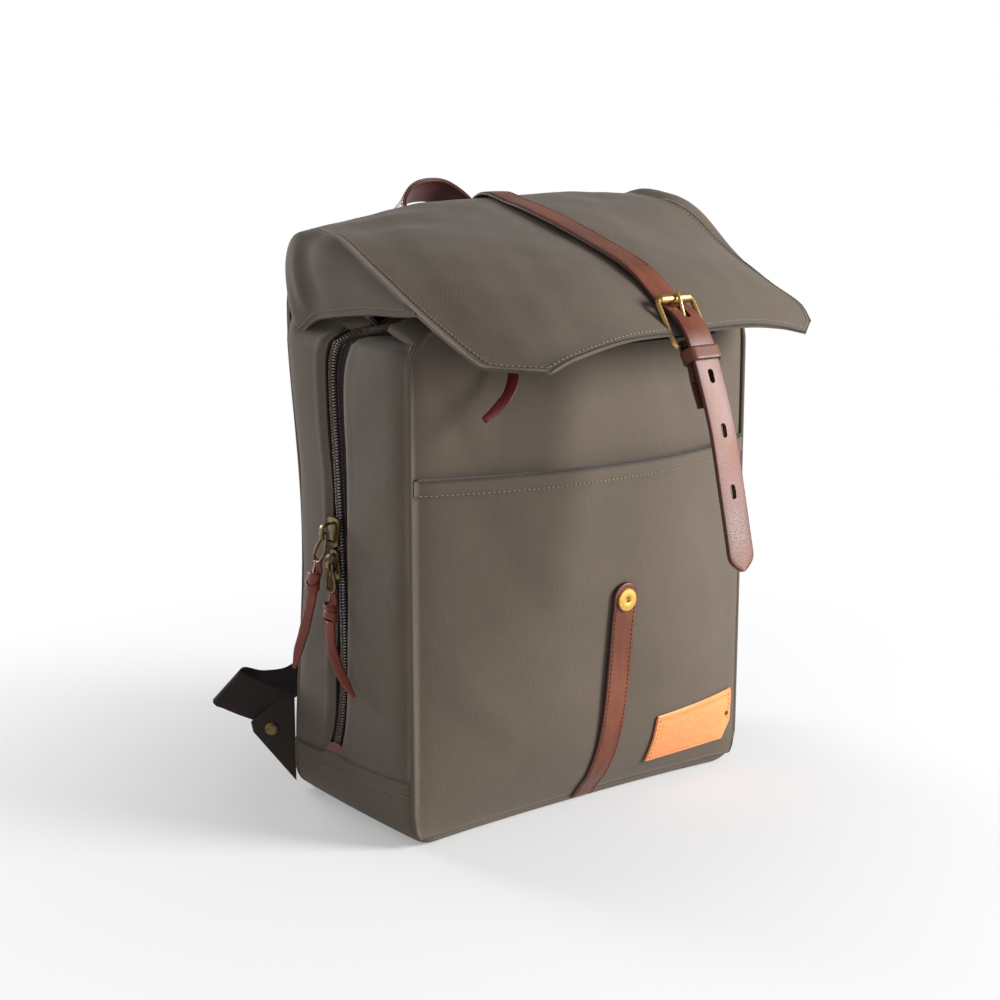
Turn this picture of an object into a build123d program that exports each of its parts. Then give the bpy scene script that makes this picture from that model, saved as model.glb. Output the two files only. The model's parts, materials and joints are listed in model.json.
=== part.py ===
from build123d import *
import math
import os

# Travel backpack: a canvas body with a boot at its base, a hood-shaped flap held by one buckled
# strap, a zip round the sides and top, and padded shoulder straps on the back.
# Millimetres. +Z is up and the front faces -Y, so +X is to the right of a viewer in front.
# The origin is the centre of the base. Left and right in the names are the viewer's.

# ---- driving dimensions -------------------------------------------------------------------
HALF_WIDTH = 150.0          # side seam to centre
SEAM_FRONT = -72.0          # Y of the front seam
SEAM_BACK = 72.0            # Y of the back seam
FRONT_TOP = 350.0           # height of the body at the front seam
BACK_TOP = 396.0            # height of the body at the back seam
FRONT_CORNER = 28.0         # radius of the top corners at the front
BACK_CORNER = 42.0          # radius of the top corners at the back
BASE_CORNER = 18.0          # radius of the bottom corners
CANVAS = 2.5                # outer canvas with its lining
BOOT_FRONT = 47.0           # height of the boot at the front seam
BOOT_BACK = 38.5            # height of the boot at the back seam
SHOULDER_FRONT = 316.0      # where the side panels end and the top pieces begin, at the front
SHOULDER_BACK = 350.0       # and at the back

ZIP_Y = 14.0                # line of the main zip on the sides
ZIP_WIDTH = 28.0            # width of the tape that shows
COIL_WIDTH = 10.0           # width of the closed coil
COIL_HEIGHT = 1.6

POCKET_TOP = 254.0          # hem of the front slip pocket

STRAP_WIDTH = 22.0
STRAP_X = 2.6               # the closing strap hangs a little to the right of the centre
STRAP_THICK = 3.0
HINGE_Y = 46.0              # fold line of the hood, just over its back ridge
HINGE_Z = 424.6
HOOD_HALF = 155.0           # centre to the hood's side edge
HOOD_THICK = 3.0
WING_THICK = 3.0

BUCKLE_BAR = (-172.0, 338.0)    # Y, Z of the bar that the chape and the prong turn on
BUCKLE_ROLLER = (-153.0, 366.5)  # Y, Z of the roller's axle
WIRE = 3.4                  # thickness of the buckle's wire
ROLLER_OUTER = 6.6
ROLLER_HALF = 12.8
RUNNING = 0.06              # radial clearance of a turning fit

LACE = 5.0                  # diameter of the leather laces on the main zip
FRONT_LACE = 7.0            # and of the broad one on the small front zip
SLIDER_LENGTH = 19.0
UPPER_Z = 203.0             # heights of the two sliders of the main zip
LOWER_Z = 181.0
FRONT_ZIP_Z = 338.0         # height of the small zip across the front
FRONT_ZIP_HALF = 105.0
STRIP_WIDTH = 21.0          # the leather strip up the middle of the pocket
STRIP_TOP = 170.0
STUD_Z = 158.0
PANEL_FOAM = 4.0            # thickness of the back panel
PAD_BACK = 90.0             # Y of the back pad's outer face
PAD_SIZE = (272, 352)
PAD_Z = 190.0
HANDLE_WIDTH = 26.0
HANDLE_THICK = 3.0
HANDLE_HALF = 37.0
HANDLE_FOOT = 396.0
HANDLE_TOP = 437.0
SHOULDER_X = 52.0           # centre of each shoulder strap
SHOULDER_WIDTH = 58.0
SHOULDER_THICK = 11.0
WEBBING = 38.0

os.makedirs("parts", exist_ok=True)


def save(part, name):
    """Label a finished piece and write its STEP file."""
    part.label = name
    export_step(part, f"parts/{name}.step")


def at_y(y):
    """The plane across the bag at one Y, with X across and Z up."""
    return Plane.XZ.offset(-y)


def body_solid(grow):
    """The bag's outer solid from seam to seam, every face moved out by grow."""
    with BuildPart() as solid:
        for y, top, corner in (
            (SEAM_FRONT, FRONT_TOP, FRONT_CORNER),
            (SEAM_BACK, BACK_TOP, BACK_CORNER),
        ):
            half = HALF_WIDTH + grow
            with BuildSketch(at_y(y)) as section:
                with BuildLine():
                    Polyline(
                        (-half, -grow),
                        (half, -grow),
                        (half, top + grow),
                        (-half, top + grow),
                        close=True,
                    )
                make_face()
                fillet(section.vertices().group_by(Axis.Y)[0], BASE_CORNER + grow)
                fillet(section.vertices().group_by(Axis.Y)[-1], corner + grow)
        loft(ruled=True)
    return solid.part


def side_prism(points):
    """A prism right across the bag over a closed outline of (Y, Z) points."""
    with BuildPart() as prism:
        with BuildSketch(Plane.YZ):
            with BuildLine():
                Polyline(*points, close=True)
            make_face()
        extrude(amount=250, both=True)
    return prism.part


def zip_prism(width):
    """A prism across the bag over the zip's path: up the sides, then forward over the top."""
    with BuildPart() as prism:
        with BuildSketch(Plane.YZ):
            with BuildLine() as path:
                rise = Line((ZIP_Y, BOOT_BACK - 10), (ZIP_Y, 296))
                bend = TangentArc(rise @ 1, (-22, 349), tangent=rise % 1)
                Line(bend @ 1, bend @ 1 + 60 * (bend % 1))
            trace(line_width=width)
        extrude(amount=250, both=True)
    return prism.part


def wall_band(y_ends, sags, inner_gap, thick):
    """A wall bulging forward: an arc band lofted up the front. sags is (Z, bulge) pairs."""
    with BuildPart() as wall:
        for z, sag in sags:
            outer = y_ends - inner_gap - thick
            with BuildSketch(Plane.XY.offset(z)):
                with BuildLine():
                    ThreePointArc((-HALF_WIDTH, outer), (0, outer - sag), (HALF_WIDTH, outer))
                    Line((HALF_WIDTH, outer), (HALF_WIDTH, outer + thick))
                    ThreePointArc(
                        (HALF_WIDTH, outer + thick),
                        (0, outer + thick - sag),
                        (-HALF_WIDTH, outer + thick),
                    )
                    Line((-HALF_WIDTH, outer + thick), (-HALF_WIDTH, outer))
                make_face()
        loft()
    return wall.part


# ---- the body: a boot, sides, top and zip cut from one wall --------------------------------
shell = body_solid(0) - body_solid(-CANVAS)
boot_zone = side_prism(
    [(-90, -20), (90, -20), (90, BOOT_BACK), (-90, BOOT_FRONT)]
)
side_zone = side_prism(
    [(-90, BOOT_FRONT), (90, BOOT_BACK), (90, SHOULDER_BACK), (-90, SHOULDER_FRONT)]
)
top_zone = side_prism(
    [(-90, SHOULDER_FRONT), (90, SHOULDER_BACK), (90, 460), (-90, 460)]
)
tape_zone = zip_prism(ZIP_WIDTH)

with BuildPart() as base_panel:
    add(shell & boot_zone)
save(base_panel.part, "base_panel")

sides = (shell & side_zone) - tape_zone
for wall in sides.solids():
    centre = wall.center()
    side_name = "left" if centre.X < 0 else "right"
    depth_name = "front" if centre.Y < ZIP_Y - 10 else "rear"
    with BuildPart() as side_panel:
        add(wall)
    save(side_panel.part, f"side_{depth_name}_{side_name}")

tops = (shell & top_zone) - tape_zone
for wall in tops.solids():
    top_name = "top_front" if wall.bounding_box().min.Y < SEAM_FRONT + 1 else "top_rear"
    with BuildPart() as top_panel:
        add(wall)
    save(top_panel.part, top_name)

with BuildPart() as main_zip_tape:
    add((shell & tape_zone) - boot_zone)
save(main_zip_tape.part, "main_zip_tape")

with BuildPart() as main_zip_coil:
    add(((body_solid(COIL_HEIGHT) - body_solid(0.05)) & zip_prism(COIL_WIDTH)) - boot_zone)
save(main_zip_coil.part, "main_zip_coil")

# ---- front: the panel, and the slip pocket in front of it ----------------------------------
PANEL_BULGE = [(8, 0.5), (60, 12), (150, 26), (250, 28), (300, 27), (335, 15), (351, 4)]
POCKET_BULGE = [(8, 1), (30, 8), (60, 18), (100, 25), (160, 32.5), (POCKET_TOP, 38.5)]

with BuildPart() as front_outline:
    with BuildSketch(Plane.XZ) as outline:
        with BuildLine():
            Polyline(
                (-HALF_WIDTH, 0),
                (HALF_WIDTH, 0),
                (HALF_WIDTH, FRONT_TOP),
                (-HALF_WIDTH, FRONT_TOP),
                close=True,
            )
        make_face()
        fillet(outline.vertices().group_by(Axis.Y)[0], BASE_CORNER)
        fillet(outline.vertices().group_by(Axis.Y)[-1], FRONT_CORNER)
    extrude(amount=200)

with BuildPart() as front_panel:
    add(wall_band(SEAM_FRONT, PANEL_BULGE, 0, CANVAS))
    add(front_outline.part, mode=Mode.INTERSECT)
save(front_panel.part, "front_panel")

with BuildPart() as front_pocket:
    add(wall_band(SEAM_FRONT, POCKET_BULGE, CANVAS + 0.1, CANVAS))
    add(front_outline.part, mode=Mode.INTERSECT)
save(front_pocket.part, "front_pocket")


def pocket_face(x, z):
    """Y of the slip pocket's outer face at one X and Z."""
    low, high = [p for p in zip(POCKET_BULGE, POCKET_BULGE[1:]) if p[0][0] <= z <= p[1][0]][0]
    share = (z - low[0]) / (high[0] - low[0])
    sag = low[1] + share * (high[1] - low[1])
    return SEAM_FRONT - 2 * CANVAS - 0.1 - sag * (1 - (x / HALF_WIDTH) ** 2)


# ---- back: the panel, its foam pad and the laptop divider inside ---------------------------
with BuildPart() as back_panel:
    with BuildSketch(at_y(SEAM_BACK)) as outline:
        with BuildLine():
            Polyline(
                (-HALF_WIDTH, 0),
                (HALF_WIDTH, 0),
                (HALF_WIDTH, BACK_TOP),
                (-HALF_WIDTH, BACK_TOP),
                close=True,
            )
        make_face()
        fillet(outline.vertices().group_by(Axis.Y)[0], BASE_CORNER)
        fillet(outline.vertices().group_by(Axis.Y)[-1], BACK_CORNER)
    extrude(amount=-PANEL_FOAM)
save(back_panel.part, "back_panel")

with BuildPart() as back_pad:
    with BuildSketch(at_y(SEAM_BACK + PANEL_FOAM)) as outline:
        with Locations((0, PAD_Z)):
            RectangleRounded(*PAD_SIZE, 34)
    extrude(amount=-(PAD_BACK - SEAM_BACK - PANEL_FOAM))
    fillet(back_pad.faces().sort_by(Axis.Y)[-1].edges(), 6)
save(back_pad.part, "back_pad")

with BuildPart() as laptop_divider:
    with BuildSketch(at_y(36)):
        with Locations((0, 153)):
            RectangleRounded(290, 294, 16)
    extrude(amount=-6)
save(laptop_divider.part, "laptop_divider")

with BuildPart() as base_stiffener:
    with BuildSketch(Plane.XY.offset(CANVAS + 0.2)):
        RectangleRounded(262, 136, 8)
    extrude(amount=2.2)
save(base_stiffener.part, "base_stiffener")

# ---- zip end tabs: leather patches over the zip's two ends ---------------------------------
for side, side_name in ((-1, "left"), (1, "right")):
    with BuildPart() as end_tab:
        with BuildSketch(Plane.YZ.offset(side * (HALF_WIDTH + 0.1))):
            with Locations((ZIP_Y + 2, 43)):
                RectangleRounded(30, 14, 5)
        extrude(amount=side * 3.4)
        add(main_zip_coil.part, mode=Mode.SUBTRACT)
    save(end_tab.part, f"zip_end_tab_{side_name}")


# ---- sliders and pulls of the main zip, on the left side -----------------------------------
COIL_FACE = HALF_WIDTH + COIL_HEIGHT
SLIDER_IN = COIL_FACE + 0.4
SLIDER_OUT = SLIDER_IN + 3.2
PULL_PIN_X = -(SLIDER_OUT + 2.2)
PULL_WIRE = 2.0


def slider_body(z, nose, lift):
    """A slider: a waisted plate over the coil, and a bridge that holds its pull out by lift."""
    with BuildPart() as slider:
        with BuildSketch(Plane.YZ.offset(-SLIDER_IN)):
            with BuildLine():
                Polyline(
                    (ZIP_Y - 7.5, z + nose * SLIDER_LENGTH / 2),
                    (ZIP_Y + 7.5, z + nose * SLIDER_LENGTH / 2),
                    (ZIP_Y + 6.5, z),
                    (ZIP_Y + 4.5, z - nose * SLIDER_LENGTH / 2),
                    (ZIP_Y - 4.5, z - nose * SLIDER_LENGTH / 2),
                    (ZIP_Y - 6.5, z),
                    close=True,
                )
            make_face()
        extrude(amount=-(SLIDER_OUT - SLIDER_IN))
        with BuildSketch(Plane.XY.offset(z - 5.5)):
            with Locations((-(SLIDER_OUT + 2.2 + lift / 2), ZIP_Y)):
                Rectangle(4.8 + lift, 5)
        extrude(amount=11)
        with Locations(Plane.XZ.offset(-ZIP_Y)):
            with Locations((PULL_PIN_X - lift, z)):
                Hole(radius=1.75)
    return slider.part


def pull_ring(z, drop, reach, lift):
    """A wire link through the slider's bridge, hanging drop below it and reach to the rear."""
    half = 5.5
    with BuildPart() as ring:
        with BuildSketch(Plane.YZ.offset(PULL_PIN_X - lift)):
            with BuildLine():
                Polyline(
                    (ZIP_Y - half, z),
                    (ZIP_Y - half, z - 7),
                    (ZIP_Y - half + reach, z - drop),
                    (ZIP_Y + half + reach, z - drop),
                    (ZIP_Y + half, z - 7 + 0.4 * reach),
                    (ZIP_Y + half, z),
                    close=True,
                )
            trace(line_width=PULL_WIRE)
        extrude(amount=PULL_WIRE / 2, both=True)
    return ring.part


def knot(centre, size):
    """A tied leather knot as a rounded block."""
    with BuildPart() as block:
        with BuildSketch(Plane.XY.offset(centre[2] - size[2] / 2)):
            with Locations((centre[0], centre[1])):
                RectangleRounded(size[0], size[1], min(size[0], size[1]) * 0.3)
        extrude(amount=size[2])
        fillet(block.faces().group_by(Axis.Z)[0].edges(), 1.5)
        fillet(block.faces().group_by(Axis.Z)[-1].edges(), 1.5)
    return block.part


def lace_tube(points, diameter, name):
    """A leather lace: straight runs joined by arcs as large as the runs allow."""
    places = [Vector(*p) for p in points]
    radii = []
    for before, here, after in zip(places, places[1:], places[2:]):
        turn = math.radians((here - before).get_angle(after - here))
        run = min((here - before).length, (after - here).length)
        radii.append(0.45 * run / math.tan(turn / 2))
    with BuildPart() as tube:
        with BuildLine():
            route = FilletPolyline(*places, radius=radii)
        with BuildSketch(Plane(origin=route @ 0, z_dir=route % 0)):
            Circle(diameter / 2)
        sweep()
    length = route.length
    expected = math.pi * diameter**2 / 4 * length
    print(name, "length", round(length, 1), "radii", [round(r, 1) for r in radii],
          "volume ratio", round(tube.part.volume / expected, 4))
    return tube.part


UPPER_DROP = 21.0
LOWER_DROP = 19.0
UPPER_REACH = 11.0
UPPER_LIFT = 4.2
save(slider_body(UPPER_Z, 1, UPPER_LIFT), "zip_slider_upper")
save(slider_body(LOWER_Z, -1, 0), "zip_slider_lower")
upper_ring = pull_ring(UPPER_Z, UPPER_DROP, UPPER_REACH, UPPER_LIFT)
lower_ring = pull_ring(LOWER_Z, LOWER_DROP, 0, 0)
save(upper_ring, "zip_pull_upper")
save(lower_ring, "zip_pull_lower")

KNOT_X = PULL_PIN_X - 2.6
UPPER_X = PULL_PIN_X - UPPER_LIFT
UPPER_KNOT = (UPPER_X - 0.6, 29.5, 168.5)
LOWER_KNOT = (KNOT_X, 11.0, 149.0)
with BuildPart() as lace_knot_upper:
    add(knot(UPPER_KNOT, (8, 12, 16)))
    add(knot((UPPER_X - 0.6, ZIP_Y + UPPER_REACH + 1, UPPER_Z - UPPER_DROP - 2), (5, 9, 9)))
    add(upper_ring, mode=Mode.SUBTRACT)
save(lace_knot_upper.part, "lace_knot_upper")
with BuildPart() as lace_knot_lower:
    add(knot(LOWER_KNOT, (8, 12, 14)))
    add(knot((PULL_PIN_X - 0.6, ZIP_Y, LOWER_Z - LOWER_DROP - 3), (5, 9, 10)))
    add(lower_ring, mode=Mode.SUBTRACT)
save(lace_knot_lower.part, "lace_knot_lower")

LACE_UPPER_ROUTE = [
    (UPPER_X - 0.6, 29.5, 160.5),
    (UPPER_X - 1.8, 32.5, 146.0),
    (UPPER_X - 2.4, 40.0, 128.0),
    (UPPER_X - 1.4, 51.0, 110.0),
    (UPPER_X + 1.4, 60.0, 97.0),
]
LACE_LOWER_ROUTE = [
    (KNOT_X, 11.0, 142.0),
    (KNOT_X - 1.5, 9.0, 129.0),
    (KNOT_X - 2.5, 2.0, 116.0),
    (KNOT_X - 2.0, -9.0, 104.0),
    (KNOT_X - 0.5, -18.0, 95.0),
]
save(lace_tube(LACE_UPPER_ROUTE, LACE, "lace_upper"), "lace_upper")
save(lace_tube(LACE_LOWER_ROUTE, LACE, "lace_lower"), "lace_lower")

# ---- the small zip across the upper front panel, under the hood ----------------------------
FRONT_ZIP_SLIDER_X = -88.0
FRONT_ZIP_SAG = 17.5
FRONT_ZIP_Y = SEAM_FRONT - CANVAS


def front_arc_y(x):
    """Y of the front panel's outer face at the height of the small zip."""
    return FRONT_ZIP_Y - FRONT_ZIP_SAG * (1 - (x / HALF_WIDTH) ** 2)


with BuildPart() as front_zip_tape:
    with BuildSketch(Plane.XY.offset(FRONT_ZIP_Z - 7)):
        with BuildLine():
            for lift in (0.9, 2.4):
                ThreePointArc(
                    (-FRONT_ZIP_HALF, front_arc_y(FRONT_ZIP_HALF) - lift),
                    (0, front_arc_y(0) - lift),
                    (FRONT_ZIP_HALF, front_arc_y(FRONT_ZIP_HALF) - lift),
                )
            for end in (-1, 1):
                Line(
                    (end * FRONT_ZIP_HALF, front_arc_y(FRONT_ZIP_HALF) - 0.9),
                    (end * FRONT_ZIP_HALF, front_arc_y(FRONT_ZIP_HALF) - 2.4),
                )
        make_face()
    extrude(amount=14)
    add(front_panel.part, mode=Mode.SUBTRACT)
save(front_zip_tape.part, "front_zip_tape")

SLIDER_FACE = front_arc_y(0) - 2.4 - 0.5
with BuildPart() as front_zip_slider:
    with BuildSketch(Plane.XY.offset(FRONT_ZIP_Z - 4.5)):
        with Locations((FRONT_ZIP_SLIDER_X, SLIDER_FACE - 1.4)):
            RectangleRounded(15, 2.8, 1)
        with Locations((FRONT_ZIP_SLIDER_X, SLIDER_FACE - 3.6)):
            Rectangle(6, 3.2)
    extrude(amount=9)
save(front_zip_slider.part, "front_zip_slider")

FRONT_LACE_ROUTE = [
    (FRONT_ZIP_SLIDER_X, SLIDER_FACE - 3.4, FRONT_ZIP_Z - 4.5),
    (FRONT_ZIP_SLIDER_X - 1.0, SLIDER_FACE - 8.1, FRONT_ZIP_Z - 17),
    (FRONT_ZIP_SLIDER_X - 4.0, SLIDER_FACE - 12.6, FRONT_ZIP_Z - 29),
    (FRONT_ZIP_SLIDER_X - 10.5, SLIDER_FACE - 14.1, FRONT_ZIP_Z - 40),
    (FRONT_ZIP_SLIDER_X - 19.0, SLIDER_FACE - 13.5, FRONT_ZIP_Z - 49),
]
save(lace_tube(FRONT_LACE_ROUTE, FRONT_LACE, "front_lace"), "front_lace")

# ---- leather strip, ring stud and label on the pocket --------------------------------------
with BuildPart() as leather_strip:
    with BuildSketch(Plane.YZ):
        with BuildLine() as profile:
            face = [(pocket_face(0, z) - 1.6, z) for z in (9, 40, 75, 110, 140, STRIP_TOP)]
            Spline(*face)
        trace(line_width=2.2)
    extrude(amount=STRIP_WIDTH / 2, both=True)
    add(front_pocket.part, mode=Mode.SUBTRACT)
save(leather_strip.part, "leather_strip")

STUD_BASE = pocket_face(0, STUD_Z) - 3.5
with BuildPart() as ring_stud:
    with BuildSketch(at_y(STUD_BASE)):
        with Locations((0, STUD_Z)):
            Circle(8)
    extrude(amount=3)
    fillet(ring_stud.faces().sort_by(Axis.Y)[0].edges(), 1)
    with Locations(Plane.XZ.offset(-STUD_BASE)):
        with Locations((0, STUD_Z)):
            Hole(radius=1.75)
save(ring_stud.part, "ring_stud")

LABEL_X = 92.0
LABEL_Z = 45.0
label_plane = Plane(
    origin=(LABEL_X, pocket_face(LABEL_X, LABEL_Z) - 6.4, LABEL_Z),
    x_dir=(1, 0.24, 0),
    z_dir=(0.24, -1, -0.35),
)
with BuildPart() as leather_label:
    with BuildSketch(label_plane):
        Rectangle(80, 36)
        with Locations((44, 3)):
            RectangleRounded(14, 14, 3)
        with Locations((45, 3)):
            Circle(2, mode=Mode.SUBTRACT)
    extrude(amount=2)
    add(front_pocket.part, mode=Mode.SUBTRACT)
save(leather_label.part, "leather_label")

# ---- the hood ------------------------------------------------------------------------------
# Each station is Y, the height of the crown at the centre, and the height at the side edges.
HOOD_STATIONS = [
    (43.5, 424.0, 409.0),
    (0, 415.5, 393.0),
    (-40, 406.0, 379.0),
    (-90, 391.0, 361.0),
    (-125, 376.0, 349.0),
    (-150, 357.0, 339.0),
    (-178, 334.0, 331.0),
]
HOOD_OUTLINE = [(155, 43.5), (155, -92), (148, -148), (122, -174), (60, -170), (0, -161)]


def hood_band(stations, half, thick):
    """A crowned sheet: arcs across the bag lofted from back to front."""
    with BuildPart() as band:
        for y, crown, edge in stations:
            with BuildSketch(at_y(y)):
                with BuildLine():
                    ThreePointArc((-half, edge), (0, crown), (half, edge))
                    Line((half, edge), (half, edge - thick))
                    ThreePointArc((half, edge - thick), (0, crown - thick), (-half, edge - thick))
                    Line((-half, edge - thick), (-half, edge))
                make_face()
        loft()
    return band.part


with BuildPart() as hood_plan:
    with BuildSketch(Plane.XY):
        with BuildLine():
            Polyline(
                *HOOD_OUTLINE,
                *[(-x, y) for x, y in reversed(HOOD_OUTLINE[:-1])],
                close=True,
            )
        make_face()
    extrude(amount=500)

with BuildPart() as flap_top:
    add(hood_band(HOOD_STATIONS, HOOD_HALF, HOOD_THICK))
    add(hood_plan.part, mode=Mode.INTERSECT)
save(flap_top.part, "flap_top")

for side, side_name in ((-1, "left"), (1, "right")):
    with BuildPart() as wing:
        with BuildSketch(Plane.YZ.offset(side * (HOOD_HALF - WING_THICK))):
            with BuildLine():
                Polyline((62, 396), (43, 405.5), (0, 389.5), (-40, 375.5), (-86, 358.5),
                         (-40, 350), (0, 343), (62, 334), close=True)
            make_face()
        extrude(amount=side * WING_THICK)
        add(flap_top.part, mode=Mode.SUBTRACT)
    save(wing.part, f"flap_wing_{side_name}")

with BuildPart() as hood_rear:
    add(hood_band([(47, 424.0, 409.0), (60, 419, 405), (70, 409, 399)], 148, 4))
    with BuildSketch(at_y(SEAM_BACK + 4.1)):
        with Locations((0, 393)):
            Rectangle(190, 22)
    extrude(amount=-2.5)
    with BuildSketch(Plane.XY.offset(402)):
        with Locations((0, 73)):
            Rectangle(190, 11.2)
    extrude(amount=3)
save(hood_rear.part, "hood_rear")

# ---- the strap, its keeper and the buckle --------------------------------------------------
LEAN = math.atan2(BUCKLE_ROLLER[1] - BUCKLE_BAR[1], BUCKLE_ROLLER[0] - BUCKLE_BAR[0])
OUT = (-math.sin(LEAN), math.cos(LEAN))


def off_bar(along, out):
    """A (Y, Z) point measured along the buckle from its bar, and out from its plane."""
    return (
        BUCKLE_BAR[0] + along * math.cos(LEAN) + out * OUT[0],
        BUCKLE_BAR[1] + along * math.sin(LEAN) + out * OUT[1],
    )


FRAME_LENGTH = math.hypot(BUCKLE_ROLLER[0] - BUCKLE_BAR[0], BUCKLE_ROLLER[1] - BUCKLE_BAR[1])
UNDER_ROLLER = off_bar(FRAME_LENGTH, -(ROLLER_OUTER / 2 + STRAP_THICK / 2 + 0.9))
OVER_BAR = off_bar(0, 6.8)
TIP = (-219.0, 203.0)


def strap_profile(width, path_points, tangents, thick):
    """A strap across X, of one thickness along a smooth line of (Y, Z) points."""
    with BuildPart() as strap:
        with BuildSketch(Plane.YZ.offset(STRAP_X)):
            with BuildLine():
                Spline(*path_points, tangents=tangents)
            trace(line_width=thick)
        extrude(amount=width / 2, both=True)
    return strap.part

THROUGH = (OVER_BAR[0] - UNDER_ROLLER[0], OVER_BAR[1] - UNDER_ROLLER[1])

BILLET_SLOTS = (319, 286, 248)  # heights of the strap's spare slots
PRONG_HOLE_Z = 350.0

with BuildPart() as slot_cutter:
    with BuildSketch(Plane.XZ):
        for z in BILLET_SLOTS:
            with Locations((STRAP_X, z)):
                SlotOverall(9, 4.5, rotation=90)
    extrude(amount=260)
    with BuildSketch(Plane.XZ):
        with Locations((STRAP_X, PRONG_HOLE_Z)):
            SlotOverall(15, 5.4, rotation=90)
    extrude(amount=260)

with BuildPart() as billet_strap:
    add(strap_profile(
        STRAP_WIDTH,
        [(42, 426.0), (0, 417.6), (-40, 408.1), (-90, 393.4), (-122, 381.5), UNDER_ROLLER],
        [(-0.98, -0.18), THROUGH],
        STRAP_THICK,
    ))
    add(strap_profile(
        STRAP_WIDTH,
        [UNDER_ROLLER, OVER_BAR, (-187, 319), (-198, 287), (-208, 248), TIP],
        [THROUGH, (-0.26, -0.97)],
        STRAP_THICK,
    ))
    add(slot_cutter.part, mode=Mode.SUBTRACT)
    add(flap_top.part, mode=Mode.SUBTRACT)
save(billet_strap.part, "billet_strap")

CHAPE_THICK = 2.2
CHAPE_WIDTH = 21.0
chape_radius = WIRE / 2 + 0.1 + CHAPE_THICK / 2
CHAPE_END = off_bar(-40.8, -7.3)

with BuildPart() as chape:
    with BuildSketch(Plane.YZ.offset(STRAP_X)):
        with Locations(BUCKLE_BAR):
            Circle(chape_radius + CHAPE_THICK / 2)
        with BuildLine():
            Spline(off_bar(-2.8, -0.6), off_bar(-12, -1.5), off_bar(-26, -5.0), CHAPE_END)
        trace(line_width=CHAPE_THICK)
        with Locations(BUCKLE_BAR):
            Circle(WIRE / 2 + 0.1, mode=Mode.SUBTRACT)
    extrude(amount=CHAPE_WIDTH / 2, both=True)
    with BuildSketch(Plane.YZ.offset(STRAP_X)):
        with Locations(BUCKLE_BAR):
            Circle(7)
    extrude(amount=3.2, both=True, mode=Mode.SUBTRACT)
save(chape.part, "chape")

with BuildPart() as strap_keeper:
    keeper_centre = off_bar(-13, 2.2)
    keeper_plane = Plane(
        origin=(STRAP_X, *keeper_centre),
        x_dir=(1, 0, 0),
        z_dir=(0, math.cos(LEAN + 0.05), math.sin(LEAN + 0.05)),
    )
    with BuildSketch(keeper_plane):
        RectangleRounded(28, 13.5, 2)
        RectangleRounded(24.2, 10.3, 1, mode=Mode.SUBTRACT)
    extrude(amount=5.5, both=True)
    add(billet_strap.part, mode=Mode.SUBTRACT)
    add(chape.part, mode=Mode.SUBTRACT)
save(strap_keeper.part, "strap_keeper")

FRAME_HALF = 15.2
side_bar_plane = Plane(
    origin=(STRAP_X, *BUCKLE_BAR),
    x_dir=(1, 0, 0),
    z_dir=(0, math.cos(LEAN), math.sin(LEAN)),
)
with BuildPart() as buckle_frame:
    with BuildSketch(Plane(origin=(STRAP_X, *BUCKLE_BAR), z_dir=(1, 0, 0))):
        Circle(WIRE / 2)
    extrude(amount=FRAME_HALF, both=True)
    with BuildSketch(Plane(origin=(STRAP_X, *BUCKLE_ROLLER), z_dir=(1, 0, 0))):
        Circle(WIRE / 2)
    extrude(amount=FRAME_HALF, both=True)
    with BuildSketch(side_bar_plane):
        with Locations((FRAME_HALF, 0), (-FRAME_HALF, 0)):
            Circle(WIRE / 2)
    extrude(amount=FRAME_LENGTH)
    corners = [
        (STRAP_X + side * FRAME_HALF, *end)
        for side in (-1, 1)
        for end in (BUCKLE_BAR, BUCKLE_ROLLER)
    ]
    with Locations(*corners):
        Sphere(WIRE / 2)
save(buckle_frame.part, "buckle_frame")

with BuildPart() as buckle_roller:
    with BuildSketch(Plane(origin=(STRAP_X, *BUCKLE_ROLLER), z_dir=(1, 0, 0))):
        Circle(ROLLER_OUTER / 2)
        Circle(WIRE / 2 + RUNNING, mode=Mode.SUBTRACT)
    extrude(amount=ROLLER_HALF, both=True)
save(buckle_roller.part, "buckle_roller")

PRONG_WIRE = 3.0
PRONG_EYE = 3.4
prong_tip = off_bar(FRAME_LENGTH + 2.0, ROLLER_OUTER / 2 + PRONG_WIRE / 2 + 0.4)
with BuildPart() as buckle_prong:
    with BuildSketch(Plane.YZ.offset(STRAP_X)):
        with BuildLine():
            Line(BUCKLE_BAR, prong_tip)
        trace(line_width=PRONG_WIRE)
    extrude(amount=PRONG_WIRE / 2, both=True)
    with BuildSketch(Plane.YZ.offset(STRAP_X)):
        with Locations(BUCKLE_BAR):
            Circle(PRONG_EYE)
    extrude(amount=2.4, both=True)
    with BuildSketch(Plane.YZ.offset(STRAP_X)):
        with Locations(BUCKLE_BAR):
            Circle(WIRE / 2 + RUNNING)
    extrude(amount=5, both=True, mode=Mode.SUBTRACT)
save(buckle_prong.part, "buckle_prong")

# The cap of a snap, riveted to the back of the chape near its end. It mates with the ring stud.
snap_place = off_bar(-33, -6.6 - CHAPE_THICK / 2 - 0.1)
snap_plane = Plane(
    origin=(STRAP_X, *snap_place),
    x_dir=(1, 0, 0),
    z_dir=(0, math.sin(LEAN + 0.2), -math.cos(LEAN + 0.2)),
)
with BuildPart() as snap_cap:
    with BuildSketch(snap_plane):
        Circle(7)
    extrude(amount=3)
    add(chape.part, mode=Mode.SUBTRACT)
save(snap_cap.part, "snap_cap")

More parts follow.
